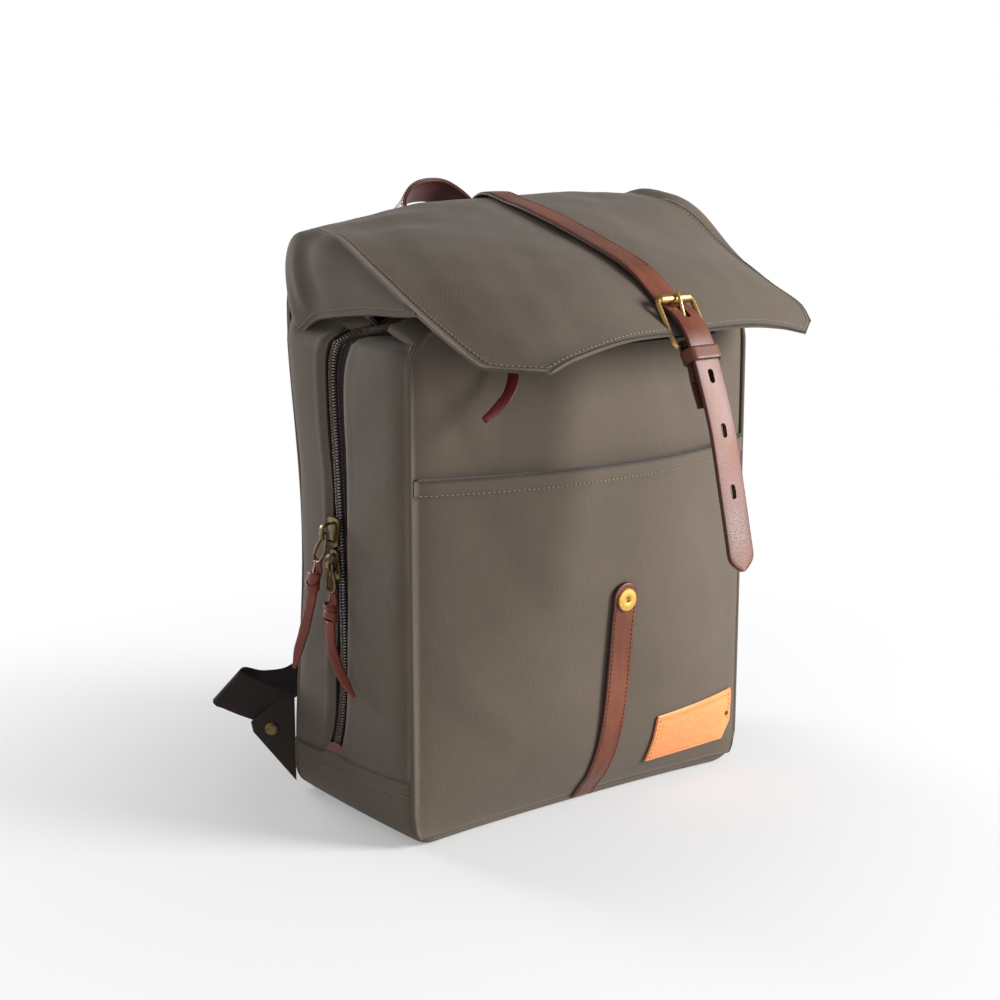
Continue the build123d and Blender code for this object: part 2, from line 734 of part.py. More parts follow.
# ---- handle ---------------------------------------------------------------------------------
HANDLE_Y = 98.0
with BuildPart() as handle:
    with BuildSketch(at_y(HANDLE_Y - HANDLE_WIDTH / 2)):
        with BuildLine():
            Spline(
                (-HANDLE_HALF, HANDLE_FOOT),
                (-HANDLE_HALF + 1, HANDLE_FOOT + 20),
                (-HANDLE_HALF * 0.55, HANDLE_TOP - 6),
                (0, HANDLE_TOP - HANDLE_THICK / 2),
                (HANDLE_HALF * 0.55, HANDLE_TOP - 6),
                (HANDLE_HALF - 1, HANDLE_FOOT + 20),
                (HANDLE_HALF, HANDLE_FOOT),
            )
        trace(line_width=HANDLE_THICK)
    extrude(amount=-HANDLE_WIDTH)
save(handle.part, "handle")

# The patch that the handle and both shoulder straps are sewn to, across the top of the pad.
with BuildPart() as strap_yoke:
    with BuildSketch(at_y(PAD_BACK + 0.1)):
        with Locations((0, 366)):
            RectangleRounded(150, 34, 6)
    extrude(amount=-3)
save(strap_yoke.part, "strap_yoke")
with BuildPart() as handle_patch:
    with BuildSketch(Plane.XY.offset(383.6)):
        with Locations((0, HANDLE_Y - 2)):
            RectangleRounded(92, 28, 4)
    extrude(amount=HANDLE_FOOT - 1.2 - 383.6)
    with BuildSketch(Plane.XY.offset(368)):
        with Locations((0, 84)):
            Rectangle(80, 8)
    extrude(amount=16)
    add(back_pad.part, mode=Mode.SUBTRACT)
    add(strap_yoke.part, mode=Mode.SUBTRACT)
    add(hood_rear.part, mode=Mode.SUBTRACT)
    add(back_panel.part, mode=Mode.SUBTRACT)
save(handle_patch.part, "handle_patch")

# ---- shoulder straps, ladder-lock buckles, webbing and lower tabs ----------------------------
STRAP_TOP = 372.0
TAB_THICK = 4.5
RIVET_RADIUS = 5.0
STRAP_HINGE_Y = PAD_BACK + 6.0
for side, side_name in ((-1, "left"), (1, "right")):
    strap_x = side * SHOULDER_X
    with BuildPart() as shoulder_strap:
        with BuildSketch(Plane.YZ.offset(strap_x)):
            with BuildLine():
                Spline(
                    (STRAP_HINGE_Y + 3.5, STRAP_TOP),
                    (STRAP_HINGE_Y + 14, 345),
                    (STRAP_HINGE_Y + 22, 290),
                    (STRAP_HINGE_Y + 20, 225),
                    (STRAP_HINGE_Y + 11, 170),
                )
            trace(line_width=SHOULDER_THICK)
        extrude(amount=SHOULDER_WIDTH / 2, both=True)
    save(shoulder_strap.part, f"shoulder_strap_{side_name}")

    with BuildPart() as ladder_lock:
        with BuildSketch(at_y(STRAP_HINGE_Y + 4)):
            with Locations((strap_x, 153)):
                RectangleRounded(46, 32, 3)
                with Locations((0, -7)):
                    RectangleRounded(39, 5, 1, mode=Mode.SUBTRACT)
                with Locations((0, 4)):
                    RectangleRounded(39, 5, 1, mode=Mode.SUBTRACT)
        extrude(amount=-6)
        add(shoulder_strap.part, mode=Mode.SUBTRACT)
    save(ladder_lock.part, f"ladder_lock_{side_name}")

    tab_plane = Plane(
        origin=(side * (HALF_WIDTH - 2), SEAM_BACK + 5.5, 40),
        x_dir=(side * 0.82, 0.57, 0),
        z_dir=(side * 0.57, -0.82, 0),
    )
    with BuildPart() as lower_tab:
        with BuildSketch(tab_plane):
            with BuildLine():
                # The plane's second axis points up on the right side and down on the left.
                outline = [(0, -33), (0, 34), (10, 34), (31, 8), (30, -8)]
                Polyline(*[(along, side * up) for along, up in outline], close=True)
            make_face()
        extrude(amount=TAB_THICK)
        add(back_panel.part, mode=Mode.SUBTRACT)
        add(back_pad.part, mode=Mode.SUBTRACT)
    save(lower_tab.part, f"lower_tab_{side_name}")

    with BuildPart() as rivet:
        with BuildSketch(tab_plane.offset(TAB_THICK)):
            with Locations((16, side * 5)):
                Circle(RIVET_RADIUS)
        extrude(amount=2)
        fillet(rivet.faces().filter_by(GeomType.PLANE).sort_by(Axis.Y)[0].edges(), 1.2)
    save(rivet.part, f"rivet_{side_name}")

    # The webbing leaves the tab outwards, turns back behind the bag and climbs to the buckle.
    stations = [
        ((178.0, 95.0, 52.0), (0.60, 0.50, 0.62), (-0.72, 0.0, 0.69)),
        ((189.0, 109.0, 61.0), (0.35, 0.85, 0.38), (-0.72, -0.2, 0.66)),
        ((182.0, 124.0, 67.0), (-0.55, 0.75, 0.20), (-0.55, -0.60, 0.58)),
        ((152.0, 130.0, 64.0), (-1.0, 0.05, 0.05), (0.0, -0.55, 0.83)),
        ((118.0, 127.0, 71.0), (-0.87, -0.2, 0.40), (0.40, -0.30, 0.87)),
        ((85.0, 117.0, 98.0), (-0.65, -0.28, 0.70), (0.72, -0.1, 0.69)),
        ((64.0, 109.0, 130.0), (-0.35, -0.2, 0.90), (0.93, 0.0, 0.35)),
    ]
    with BuildPart() as webbing:
        for place, along, across in stations:
            tangent = Vector(side * along[0], along[1], along[2]).normalized()
            width = Vector(side * across[0], across[1], across[2])
            width = (width - tangent * width.dot(tangent)).normalized()
            centre = (side * place[0], place[1], place[2])
            with BuildSketch(Plane(origin=centre, x_dir=width, z_dir=tangent)):
                Rectangle(WEBBING, 2)
        loft(ruled=True)
    save(webbing.part, f"webbing_{side_name}")
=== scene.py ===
"""The looks of the travel backpack: canvas, leather, brass, webbing and zips over the CAD frame."""
import json
import math

import bpy
import bmesh
import numpy as np
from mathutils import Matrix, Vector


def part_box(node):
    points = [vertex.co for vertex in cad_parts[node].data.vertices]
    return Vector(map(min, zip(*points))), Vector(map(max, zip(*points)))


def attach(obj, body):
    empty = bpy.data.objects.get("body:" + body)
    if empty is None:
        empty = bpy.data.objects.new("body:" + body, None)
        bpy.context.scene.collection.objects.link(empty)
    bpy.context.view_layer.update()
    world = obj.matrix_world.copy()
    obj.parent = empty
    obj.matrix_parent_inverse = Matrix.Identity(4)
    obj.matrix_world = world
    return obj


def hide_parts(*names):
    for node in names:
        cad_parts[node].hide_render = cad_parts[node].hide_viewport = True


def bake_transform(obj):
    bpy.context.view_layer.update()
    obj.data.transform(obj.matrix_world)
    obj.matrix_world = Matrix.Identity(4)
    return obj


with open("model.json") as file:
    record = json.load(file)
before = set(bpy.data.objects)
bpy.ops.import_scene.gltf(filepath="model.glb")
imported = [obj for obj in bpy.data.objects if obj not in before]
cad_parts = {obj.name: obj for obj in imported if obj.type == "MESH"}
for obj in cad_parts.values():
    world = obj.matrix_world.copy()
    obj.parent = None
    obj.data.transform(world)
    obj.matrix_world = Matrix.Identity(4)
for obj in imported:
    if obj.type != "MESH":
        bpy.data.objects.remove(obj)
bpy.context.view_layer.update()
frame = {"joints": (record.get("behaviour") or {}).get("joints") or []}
MM = 0.001


def cad(node):
    """(lowest, highest) corner of a CAD node, in millimetres."""
    low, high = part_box(node)
    return np.array(low) / MM, np.array(high) / MM


JOINTS = {joint["name"]: joint for joint in frame["joints"]}


def pivot(name):
    """A joint's point, in millimetres."""
    return np.array(JOINTS[name]["pos_m"]) / MM


# ---- driving dimensions, in millimetres, from the frame ------------------------------------
HALF_WIDTH = cad("front_panel")[1][0]
SEAM_FRONT = cad("base_panel")[0][1]
SEAM_BACK = cad("base_panel")[1][1]
FRONT_TOP = cad("front_panel")[1][2]
BACK_TOP = cad("back_panel")[1][2]
POCKET_TOP = cad("front_pocket")[1][2]
BAR = pivot("prong_pivot")
ROLLER = pivot("roller_spin")
UPPER_PIN = pivot("pull_upper_swing")
LOWER_PIN = pivot("pull_lower_swing")
FRONT_CORNER = 28.0
BACK_CORNER = 42.0
BASE_CORNER = 18.0
BOOT_FRONT = 47.0
BOOT_BACK = 38.5
CLOTH = 2.2
HOOD_CLOTH = 2.6


# ---- colours --------------------------------------------------------------------------------
def srgb(*levels):
    """Linear colour from 0-255 display levels."""
    scaled = [v / 255 for v in levels]
    return tuple(v / 12.92 if v <= 0.04045 else ((v + 0.055) / 1.055) ** 2.4 for v in scaled) + (1,)


# ---- node helpers ---------------------------------------------------------------------------
class Look:
    """A material under construction, with short calls for its nodes."""

    def __init__(self, name):
        self.material = bpy.data.materials.new(name)
        self.material.use_nodes = True
        self.nodes = self.material.node_tree.nodes
        self.links = self.material.node_tree.links
        self.shader = self.nodes["Principled BSDF"]

    def node(self, kind, inputs=(), **settings):
        made = self.nodes.new(kind)
        for key, value in settings.items():
            setattr(made, key, value)
        for key, value in dict(inputs).items():
            self.put(made.inputs[key], value)
        return made

    def put(self, socket, value):
        if hasattr(value, "is_output"):
            self.links.new(value, socket)
        else:
            socket.default_value = value

    def math(self, operation, first, second=0.0):
        made = self.node("ShaderNodeMath", operation=operation)
        self.put(made.inputs[0], first)
        self.put(made.inputs[1], second)
        return made.outputs[0]

    def mix(self, factor, first, second, blend="MIX"):
        made = self.node("ShaderNodeMix", data_type="RGBA", blend_type=blend)
        self.put(made.inputs[0], factor)
        self.put(made.inputs[6], first)
        self.put(made.inputs[7], second)
        return made.outputs[2]

    def place(self, scale=(1, 1, 1), source="UV"):
        """Coordinates in metres times scale: UV maps are metric, Object is the row frame."""
        coordinates = self.node("ShaderNodeTexCoord")
        mapping = self.node("ShaderNodeMapping", {"Scale": scale})
        self.links.new(coordinates.outputs[source], mapping.inputs["Vector"])
        return mapping.outputs[0]

    def noise(self, vector, scale, detail=3.0, rough=0.55):
        made = self.node(
            "ShaderNodeTexNoise", {"Vector": vector, "Scale": scale, "Detail": detail, "Roughness": rough}
        )
        return made.outputs[0]

    def spread(self, value, low, high, start=0.0, end=1.0):
        made = self.node("ShaderNodeMapRange", {"Value": value})
        for index, number in enumerate((low, high, start, end), 1):
            made.inputs[index].default_value = number
        return made.outputs[0]

    def bump(self, height, distance, strength=1.0, under=None):
        made = self.node("ShaderNodeBump", {"Height": height, "Distance": distance, "Strength": strength})
        if under is not None:
            self.links.new(under, made.inputs["Normal"])
        return made.outputs[0]

    def finish(self, **inputs):
        for key, value in inputs.items():
            self.put(self.shader.inputs[key.replace("_", " ")], value)
        return self.material


def canvas_look(name, base, shade):
    """Waxed cotton twill: a fine diagonal rib, slubs along the warp, soft mottling and sheen."""
    look = Look(name)
    cloth = look.place()
    split = look.node("ShaderNodeSeparateXYZ", {0: cloth})
    across = look.math("MULTIPLY", split.outputs[0], 6200.0)
    along = look.math("MULTIPLY", split.outputs[1], 4300.0)
    rib = look.math("SINE", look.math("ADD", across, along))
    warp = look.math("SINE", look.math("MULTIPLY", split.outputs[0], 9400.0))
    slub = look.noise(look.place((2400, 60, 1)), 1.0, 2.0)
    fill = look.noise(look.place((90, 1900, 1)), 1.0, 2.0)
    mottle = look.noise(cloth, 16.0, 4.0)
    cloud = look.noise(cloth, 4.5, 2.0)
    tone = look.math("ADD", look.math("MULTIPLY", slub, 0.34), look.math("MULTIPLY", fill, 0.2))
    tone = look.math("ADD", tone, look.math("MULTIPLY", mottle, 0.36))
    tone = look.math("ADD", tone, look.math("MULTIPLY", cloud, 0.3))
    colour = look.mix(look.spread(tone, 0.42, 0.78), shade, base)
    height = look.math("ADD", look.math("MULTIPLY", rib, 0.5), look.math("MULTIPLY", warp, 0.2))
    height = look.math("ADD", height, look.math("MULTIPLY", slub, 2.0))
    weave = look.bump(height, 0.00010, 0.5)
    soft = look.bump(mottle, 0.0016, 0.35, under=weave)
    rough = look.spread(mottle, 0.3, 0.7, 0.74, 0.88)
    return look.finish(
        Base_Color=colour, Roughness=rough, Normal=soft, Sheen_Weight=0.06, Sheen_Roughness=0.5,
        Specular_IOR_Level=0.12,
    )


def leather_look(name, low, mid, high, grain=1.0):
    """Pulled-up leather: tone that drifts, pebbled grain, fine pores and slightly waxed shine."""
    look = Look(name)
    hide = look.place()
    drift = look.noise(hide, 16.0, 2.5)
    fine = look.noise(hide, 240.0, 3.0)
    pores = look.node("ShaderNodeTexVoronoi", {"Vector": hide, "Scale": 900.0}, feature="F1")
    wear = look.noise(look.place((30, 140, 1)), 1.0, 3.0)
    tone = look.math("ADD", look.math("MULTIPLY", drift, 0.7), look.math("MULTIPLY", wear, 0.3))
    base = look.mix(look.spread(tone, 0.25, 0.55), low, mid)
    base = look.mix(look.spread(tone, 0.45, 0.8), base, high)
    specks = look.spread(fine, 0.3, 0.7, 0.9, 1.07)
    flecks = look.node("ShaderNodeCombineColor", {0: specks, 1: specks, 2: specks}).outputs[0]
    colour = look.mix(1.0, base, flecks, "MULTIPLY")
    height = look.math("ADD", fine, look.math("MULTIPLY", pores.outputs["Distance"], 0.8))
    normal = look.bump(height, 0.00013 * grain, 0.6)
    rough = look.spread(drift, 0.3, 0.7, 0.36, 0.56)
    return look.finish(
        Base_Color=colour, Roughness=rough, Normal=normal, Specular_IOR_Level=0.3, Coat_Weight=0.03,
        Coat_Roughness=0.4,
    )


def metal_look(name, dark, bright):
    """Antique brass: tarnish in the hollows, brighter metal where it rubs."""
    look = Look(name)
    place = look.place(source="Object")
    blotch = look.noise(place, 160.0, 2.0)
    scratch = look.noise(look.place((900, 120, 1500), "Object"), 1.0, 2.0)
    tone = look.math("ADD", look.math("MULTIPLY", blotch, 0.75), look.math("MULTIPLY", scratch, 0.25))
    colour = look.mix(look.spread(tone, 0.3, 0.6), dark, bright)
    rough = look.spread(tone, 0.35, 0.65, 0.48, 0.26)
    return look.finish(
        Base_Color=colour, Metallic=1.0, Roughness=rough, Normal=look.bump(scratch, 0.00008, 0.3),
    )


def webbing_look(name, dark, light):
    """Woven strap: heavy ribs along its length crossed by a fine fill."""
    look = Look(name)
    split = look.node("ShaderNodeSeparateXYZ", {0: look.place()})
    ribs = look.math("SINE", look.math("MULTIPLY", split.outputs[1], 4200.0))
    fill = look.math("SINE", look.math("MULTIPLY", split.outputs[0], 5200.0))
    cell = look.math("MULTIPLY", ribs, fill)
    fuzz = look.noise(look.place(), 700.0, 3.0)
    woven = look.math("MULTIPLY", look.spread(cell, -1, 1), 0.5)
    tone = look.math("ADD", woven, look.math("MULTIPLY", fuzz, 0.5))
    colour = look.mix(tone, dark, light)
    height = look.math("ADD", look.spread(cell, -1, 1), look.math("MULTIPLY", ribs, 0.4))
    return look.finish(
        Base_Color=colour, Roughness=0.82, Normal=look.bump(height, 0.0004, 0.7), Sheen_Weight=0.05,
        Specular_IOR_Level=0.15,
    )


def plain_look(name, base, shade, rough, scale=300.0, bump=0.0001, source="Object", **more):
    """Moulded or spun material: two close tones, a little relief."""
    look = Look(name)
    place = look.place(source=source)
    tone = look.noise(place, scale, 3.0)
    broad = look.noise(place, scale / 12, 3.0)
    both = look.math("ADD", look.math("MULTIPLY", tone, 0.6), look.math("MULTIPLY", broad, 0.4))
    return look.finish(
        Base_Color=look.mix(look.spread(both, 0.35, 0.65), shade, base),
        Roughness=look.spread(both, 0.3, 0.7, rough - 0.08, rough + 0.08),
        Normal=look.bump(tone, bump, 0.6), **more,
    )


CANVAS = canvas_look("canvas_taupe", srgb(90, 80, 70), srgb(75, 66, 57))
PADDED = canvas_look("canvas_padded", srgb(82, 73, 64), srgb(67, 59, 51))
LEATHER = leather_look("leather_brown", srgb(74, 34, 21), srgb(96, 50, 32), srgb(116, 66, 44))
THONG = leather_look("leather_thong", srgb(88, 34, 24), srgb(112, 48, 34), srgb(136, 68, 48), 2.4)
MAROON = leather_look("leather_maroon", srgb(52, 8, 10), srgb(68, 14, 14), srgb(80, 22, 20), 1.4)
EDGE = leather_look("leather_edge", srgb(46, 20, 15), srgb(62, 29, 22), srgb(76, 38, 28), 0.6)
NATURAL = leather_look("leather_natural", srgb(200, 122, 70), srgb(207, 130, 78), srgb(214, 140, 84), 0.7)
BRASS = metal_look("brass_antique", srgb(112, 88, 50), srgb(190, 156, 98))
BRASS_RING = metal_look("brass_bright", srgb(176, 136, 70), srgb(222, 184, 104))
BRASS_DARK = metal_look("brass_tarnished", srgb(56, 48, 36), srgb(124, 104, 72))
WEBBING = webbing_look("webbing_dark", srgb(26, 19, 18), srgb(46, 36, 33))
TAPE = webbing_look("zip_tape_dark", srgb(20, 13, 12), srgb(38, 28, 25))
COIL = plain_look("zip_coil_nylon", srgb(92, 76, 66), srgb(52, 40, 35), 0.42)
THREAD = plain_look("thread_taupe", srgb(122, 109, 96), srgb(96, 85, 75), 0.7, 1500.0)
THREAD_BROWN = plain_look("thread_brown", srgb(104, 58, 42), srgb(76, 38, 28), 0.7, 1500.0)
THREAD_TAN = plain_look("thread_tan", srgb(196, 132, 84), srgb(164, 104, 62), 0.7, 1500.0)
PLASTIC = plain_look("plastic_black", srgb(30, 28, 27), srgb(20, 19, 18), 0.42, 600.0, 0.00006)
LINING = canvas_look("lining_dark", srgb(60, 52, 47), srgb(46, 40, 36))
# Canvas of the lower tabs, much darker than the body canvas: painted shade, for tabs that face back and away
# from the key light.
SHADED_TAB_CANVAS = canvas_look("canvas_tab_painted_shade", srgb(52, 45, 41), srgb(38, 33, 30))


# ---- lines and surfaces, in millimetres -----------------------------------------------------
def unit(vectors):
    size = np.linalg.norm(vectors, axis=-1, keepdims=True)
    return vectors / np.maximum(size, 1e-9)


def resample(line, count):
    """count points evenly spaced along a line."""
    line = np.asarray(line, float)
    gaps = np.linalg.norm(np.diff(line, axis=0), axis=1)
    along = np.concatenate([[0], np.cumsum(gaps)])
    want = np.linspace(0, along[-1], count)
    return np.column_stack([np.interp(want, along, line[:, k]) for k in range(line.shape[1])])


def smooth_line(points, count):
    """count evenly spaced points on a smooth curve through the given ones."""
    p = np.asarray(points, float)
    ends = np.vstack([2 * p[0] - p[1], p, 2 * p[-1] - p[-2]])
    t = np.linspace(0, 1, 16, endpoint=False)[:, None]
    fine = []
    for a, b, c, d in zip(ends, ends[1:], ends[2:], ends[3:]):
        fine.append(
            0.5 * (2 * b + (c - a) * t + (2 * a - 5 * b + 4 * c - d) * t**2 + (3 * b - a - 3 * c + d) * t**3)
        )
    fine.append(p[-1:])
    return resample(np.vstack(fine), count)


def smooth_grid(rows, across, down):
    """A smooth surface through rows of points: down rows of across points."""
    wide = np.array([smooth_line(row, across) for row in rows])
    return np.stack([smooth_line(wide[:, j], down) for j in range(across)], axis=1)


def grid_normals(grid):
    return unit(np.cross(np.gradient(grid, axis=0), np.gradient(grid, axis=1)))


def length_along(line):
    gaps = np.linalg.norm(np.diff(line, axis=0), axis=1)
    return np.concatenate([[0], np.cumsum(gaps)])


def ripple(points, seed, size=60.0):
    """Low soft undulation of cloth, between about -1 and 1, from a few crossed waves."""
    draw = np.random.default_rng(seed)
    total = np.zeros(points.shape[:-1])
    for _ in range(6):
        way = unit(draw.normal(size=3))
        wave = 2 * math.pi / (size * draw.uniform(0.6, 1.6))
        total += np.sin(points @ way * wave + draw.uniform(0, 6.3))
    return total / 3.2


def crease(points, start, end, width, depth):
    """A soft fold between two points: depth at its line, fading over width and at its ends."""
    start, end = np.array(start, float), np.array(end, float)
    run = end - start
    t = np.clip((points - start) @ run / (run @ run), 0, 1)
    away = np.linalg.norm(points - start - t[..., None] * run, axis=-1)
    return depth * np.exp(-((away / width) ** 2)) * np.sin(math.pi * np.clip(t, 0.03, 0.97)) ** 0.5


# ---- meshes ---------------------------------------------------------------------------------
def link(name, vertices, faces, look, uv=None, smooth=True):
    """A mesh object from points in millimetres. uv is one metric (u, v) pair in mm per vertex."""
    mesh = bpy.data.meshes.new(name)
    mesh.from_pydata((np.asarray(vertices) * MM).tolist(), [], [tuple(map(int, f)) for f in faces])
    if uv is not None:
        layer = mesh.uv_layers.new(name="weave")
        index = np.zeros(len(mesh.loops), dtype=int)
        mesh.loops.foreach_get("vertex_index", index)
        layer.data.foreach_set("uv", (np.asarray(uv)[index] * MM).ravel())
    if smooth:
        mesh.polygons.foreach_set("use_smooth", [True] * len(mesh.polygons))
    for each in look if isinstance(look, (list, tuple)) else [look]:
        mesh.materials.append(each)
    made = bpy.data.objects.new(name, mesh)
    bpy.context.scene.collection.objects.link(made)
    return made


def cloth(name, grid, look, thick=CLOTH, flip=False):
    """A sheet of cloth over a grid of points, with thickness and rolled edges."""
    outer = np.asarray(grid, float)
    normal = grid_normals(outer) * (-1 if flip else 1)
    inner = outer - normal * thick
    rows, columns = outer.shape[:2]
    number = np.arange(rows * columns).reshape(rows, columns)
    ring = np.concatenate([number[0, :-1], number[:-1, -1], number[-1, :0:-1], number[:0:-1, 0]])
    middle = (outer + inner) / 2
    away = np.zeros_like(outer)
    away[0] += unit(outer[0] - outer[1])
    away[-1] += unit(outer[-1] - outer[-2])
    away[:, 0] += unit(outer[:, 0] - outer[:, 1])
    away[:, -1] += unit(outer[:, -1] - outer[:, -2])
    rim = (middle + unit(away) * thick * 0.45).reshape(-1, 3)[ring]
    size = rows * columns
    quads = np.stack(
        [number[:-1, :-1], number[1:, :-1], number[1:, 1:], number[:-1, 1:]], axis=-1
    ).reshape(-1, 4)
    if flip:
        quads = quads[:, ::-1]
    around = np.roll(ring, -1)
    edge = size * 2 + np.arange(len(ring))
    after = np.roll(edge, -1)
    first = np.stack([ring, edge, after, around], axis=-1)
    second = np.stack([edge, ring + size, around + size, after], axis=-1)
    if not flip:
        first, second = first[:, ::-1], second[:, ::-1]
    faces = np.vstack([quads, quads[:, ::-1] + size, first[:, ::-1], second[:, ::-1]])
    steps = np.linalg.norm(np.diff(outer, axis=1), axis=2).mean(axis=0)
    over = np.concatenate([[0], np.cumsum(steps)])
    drops = np.linalg.norm(np.diff(outer, axis=0), axis=2).mean(axis=1)
    down = np.concatenate([[0], np.cumsum(drops)])
    flat = np.stack(np.broadcast_arrays(over[None, :], down[:, None]), axis=-1).reshape(-1, 2)
    uv = np.vstack([flat, flat, flat[ring]])
    return link(name, np.vstack([outer.reshape(-1, 3), inner.reshape(-1, 3), rim]), faces, look, uv)


def frames(line, across):
    """Tangent, across and outward normal at each point of a line."""
    tangent = unit(np.gradient(line, axis=0))
    across = np.broadcast_to(np.asarray(across, float), line.shape)
    across = unit(across - tangent * np.sum(across * tangent, axis=1, keepdims=True))
    return tangent, across, np.cross(tangent, across)


def strap(name, line, across, width, thick, look, edge_look=None, crown=0.0, corner=None):
    """A flat strap along a line: rounded edges, and a width that may vary along it."""
    line = np.asarray(line, float)
    _, side, normal = frames(line, across)
    half = np.broadcast_to(np.asarray(width, float), len(line)) / 2
    corner = min(thick * 0.45, 1.2) if corner is None else corner
    turns = np.linspace(0, math.pi / 2, 4)
    outline = []
    for centre_side, centre_up, start in ((1, 1, 0), (-1, 1, 1), (-1, -1, 2), (1, -1, 3)):
        for turn in turns:
            angle = start * math.pi / 2 + turn
            outline.append((centre_side, centre_up, math.cos(angle) * corner, math.sin(angle) * corner))
        if start in (0, 2):
            step = -1 if start == 0 else 1
            for part in (0.6, 0.2, -0.2, -0.6):
                outline.append((-step * part, centre_up, 0.0, centre_up * corner))
    rings = []
    for centre_side, centre_up, out, up in outline:
        flat = half - corner
        lift = centre_up * (thick / 2 - corner) + up
        lift = lift + np.sign(up + 1e-9) * crown * (1 - centre_side**2)
        offset = centre_side * flat + out
        rings.append(line + side * offset[:, None] + normal * np.broadcast_to(lift, len(line))[:, None])
    rings = np.array(rings).transpose(1, 0, 2)
    count, around = rings.shape[:2]
    number = np.arange(count * around).reshape(count, around)
    nxt = np.roll(number, -1, axis=1)
    quads = np.stack([number[:-1], number[1:], nxt[1:], nxt[:-1]], axis=-1).reshape(-1, 4)
    along = length_along(line)
    spot = np.concatenate([[0], np.cumsum(np.linalg.norm(np.diff(rings[count // 2], axis=0), axis=1))])
    uv = np.stack(np.broadcast_arrays(along[:, None], spot[None, :]), axis=-1).reshape(-1, 2)
    faces = [tuple(q) for q in quads] + [tuple(number[0]), tuple(number[-1][::-1])]
    made = link(name, rings.reshape(-1, 3), faces, [look, edge_look or look], uv)
    if edge_look:
        edge_columns = [j for j in range(around) if abs(outline[j][0]) == 1]
        marks = np.zeros(len(faces), dtype=int)
        for face in range(len(quads)):
            column = face % around
            both = {column, (column + 1) % around}
            if both <= set(edge_columns):
                marks[face] = 1
        marks[-2:] = 1
        made.data.polygons.foreach_set("material_index", marks)
    return made


def tube(name, line, radius, look, sides=12, closed=False, up=(0, 0, 1)):
    """A round bar along a line, with domed ends, or a closed ring."""
    line = np.asarray(line, float)
    if closed:
        tangent = unit(np.roll(line, -1, axis=0) - np.roll(line, 1, axis=0))
    else:
        tangent = unit(np.gradient(line, axis=0))
    side = np.zeros_like(line)
    start = np.cross(tangent[0], up)
    if np.linalg.norm(start) < 0.1:
        start = np.cross(tangent[0], (1.0, 0.3, 0.0))
    side[0] = unit(start)
    for i in range(1, len(line)):
        moved = side[i - 1] - tangent[i] * (side[i - 1] @ tangent[i])
        side[i] = unit(moved)
    other = np.cross(tangent, side)
    radius = np.broadcast_to(np.asarray(radius, float), len(line)).copy()
    angle = np.linspace(0, 2 * math.pi, sides, endpoint=False)
    if not closed:
        first, last = radius[0], radius[-1]
        line = np.vstack([line[:1] - tangent[:1] * first * 0.5, line, line[-1:] + tangent[-1:] * last * 0.5])
        side = np.vstack([side[:1], side, side[-1:]])
        other = np.vstack([other[:1], other, other[-1:]])
        radius = np.concatenate([[first * 0.55], radius, [last * 0.55]])
    rings = (
        line[:, None]
        + side[:, None] * (np.cos(angle)[None, :, None] * radius[:, None, None])
        + other[:, None] * (np.sin(angle)[None, :, None] * radius[:, None, None])
    )
    count = len(line)
    number = np.arange(count * sides).reshape(count, sides)
    lower = number if closed else number[:-1]
    upper = np.roll(number, -1, axis=0) if closed else number[1:]
    quads = np.stack([lower, np.roll(lower, -1, 1), np.roll(upper, -1, 1), upper], axis=-1).reshape(-1, 4)
    faces = [tuple(q) for q in quads]
    if not closed:
        faces += [tuple(number[0][::-1]), tuple(number[-1])]
    along = length_along(line)
    uv = np.stack(
        np.broadcast_arrays(along[:, None], (angle * float(radius.mean()))[None, :]), axis=-1
    ).reshape(-1, 2)
    return link(name, rings.reshape(-1, 3), faces, look, uv)


def solid(name, outline, place, across, up, thick, look, bevel=0.6, holes=()):
    """A plate cut to an outline of (a, b) points, thick along across x up, with bevelled edges."""
    across, up = unit(np.array(across, float)), unit(np.array(up, float))
    outward = np.cross(across, up)
    shape = bmesh.new()
    loops = [outline] + list(holes)
    edges = []
    for loop in loops:
        ring = [shape.verts.new((a, b, 0)) for a, b in loop]
        edges += [shape.edges.new((p, q)) for p, q in zip(ring, ring[1:] + ring[:1])]
    bmesh.ops.triangle_fill(shape, use_beauty=True, use_dissolve=False, edges=edges)
    bmesh.ops.recalc_face_normals(shape, faces=shape.faces)
    if shape.faces and sum(f.normal.z for f in shape.faces) < 0:
        bmesh.ops.reverse_faces(shape, faces=shape.faces)
    made = bmesh.ops.extrude_face_region(shape, geom=shape.faces[:])
    raised = [g for g in made["geom"] if isinstance(g, bmesh.types.BMVert)]
    bmesh.ops.translate(shape, vec=(0, 0, thick), verts=raised)
    bmesh.ops.recalc_face_normals(shape, faces=shape.faces)
    rims = [e for e in shape.edges if len(e.link_faces) == 2 and e.calc_face_angle(0) > 0.9
            and abs(e.verts[0].co.z - e.verts[1].co.z) < 1e-6]
    if bevel:
        bmesh.ops.bevel(shape, geom=rims, offset=bevel, segments=2, affect="EDGES", profile=0.6)
    points = np.array([v.co for v in shape.verts])
    shape.verts.index_update()
    faces = [[v.index for v in f.verts] for f in shape.faces]
    shape.free()
    moved = np.array(place) + points[:, :1] * across + points[:, 1:2] * up + points[:, 2:] * outward
    made = link(name, moved, faces, look, points[:, :2])
    made.data.set_sharp_from_angle(angle=math.radians(38))
    return made


def circle(radius, count=32):
    turn = np.linspace(0, 2 * math.pi, count, endpoint=False)
    return [(radius * math.cos(t), radius * math.sin(t)) for t in turn]


def slot_outline(length, width):
    """A slot standing along b."""
    points = []
    for t in np.linspace(0, 2 * math.pi, 20, endpoint=False):
        lift = (length - width) / 2 * (1 if math.sin(t) >= 0 else -1)
        points.append((width / 2 * math.cos(t), lift + width / 2 * math.sin(t)))
    return points


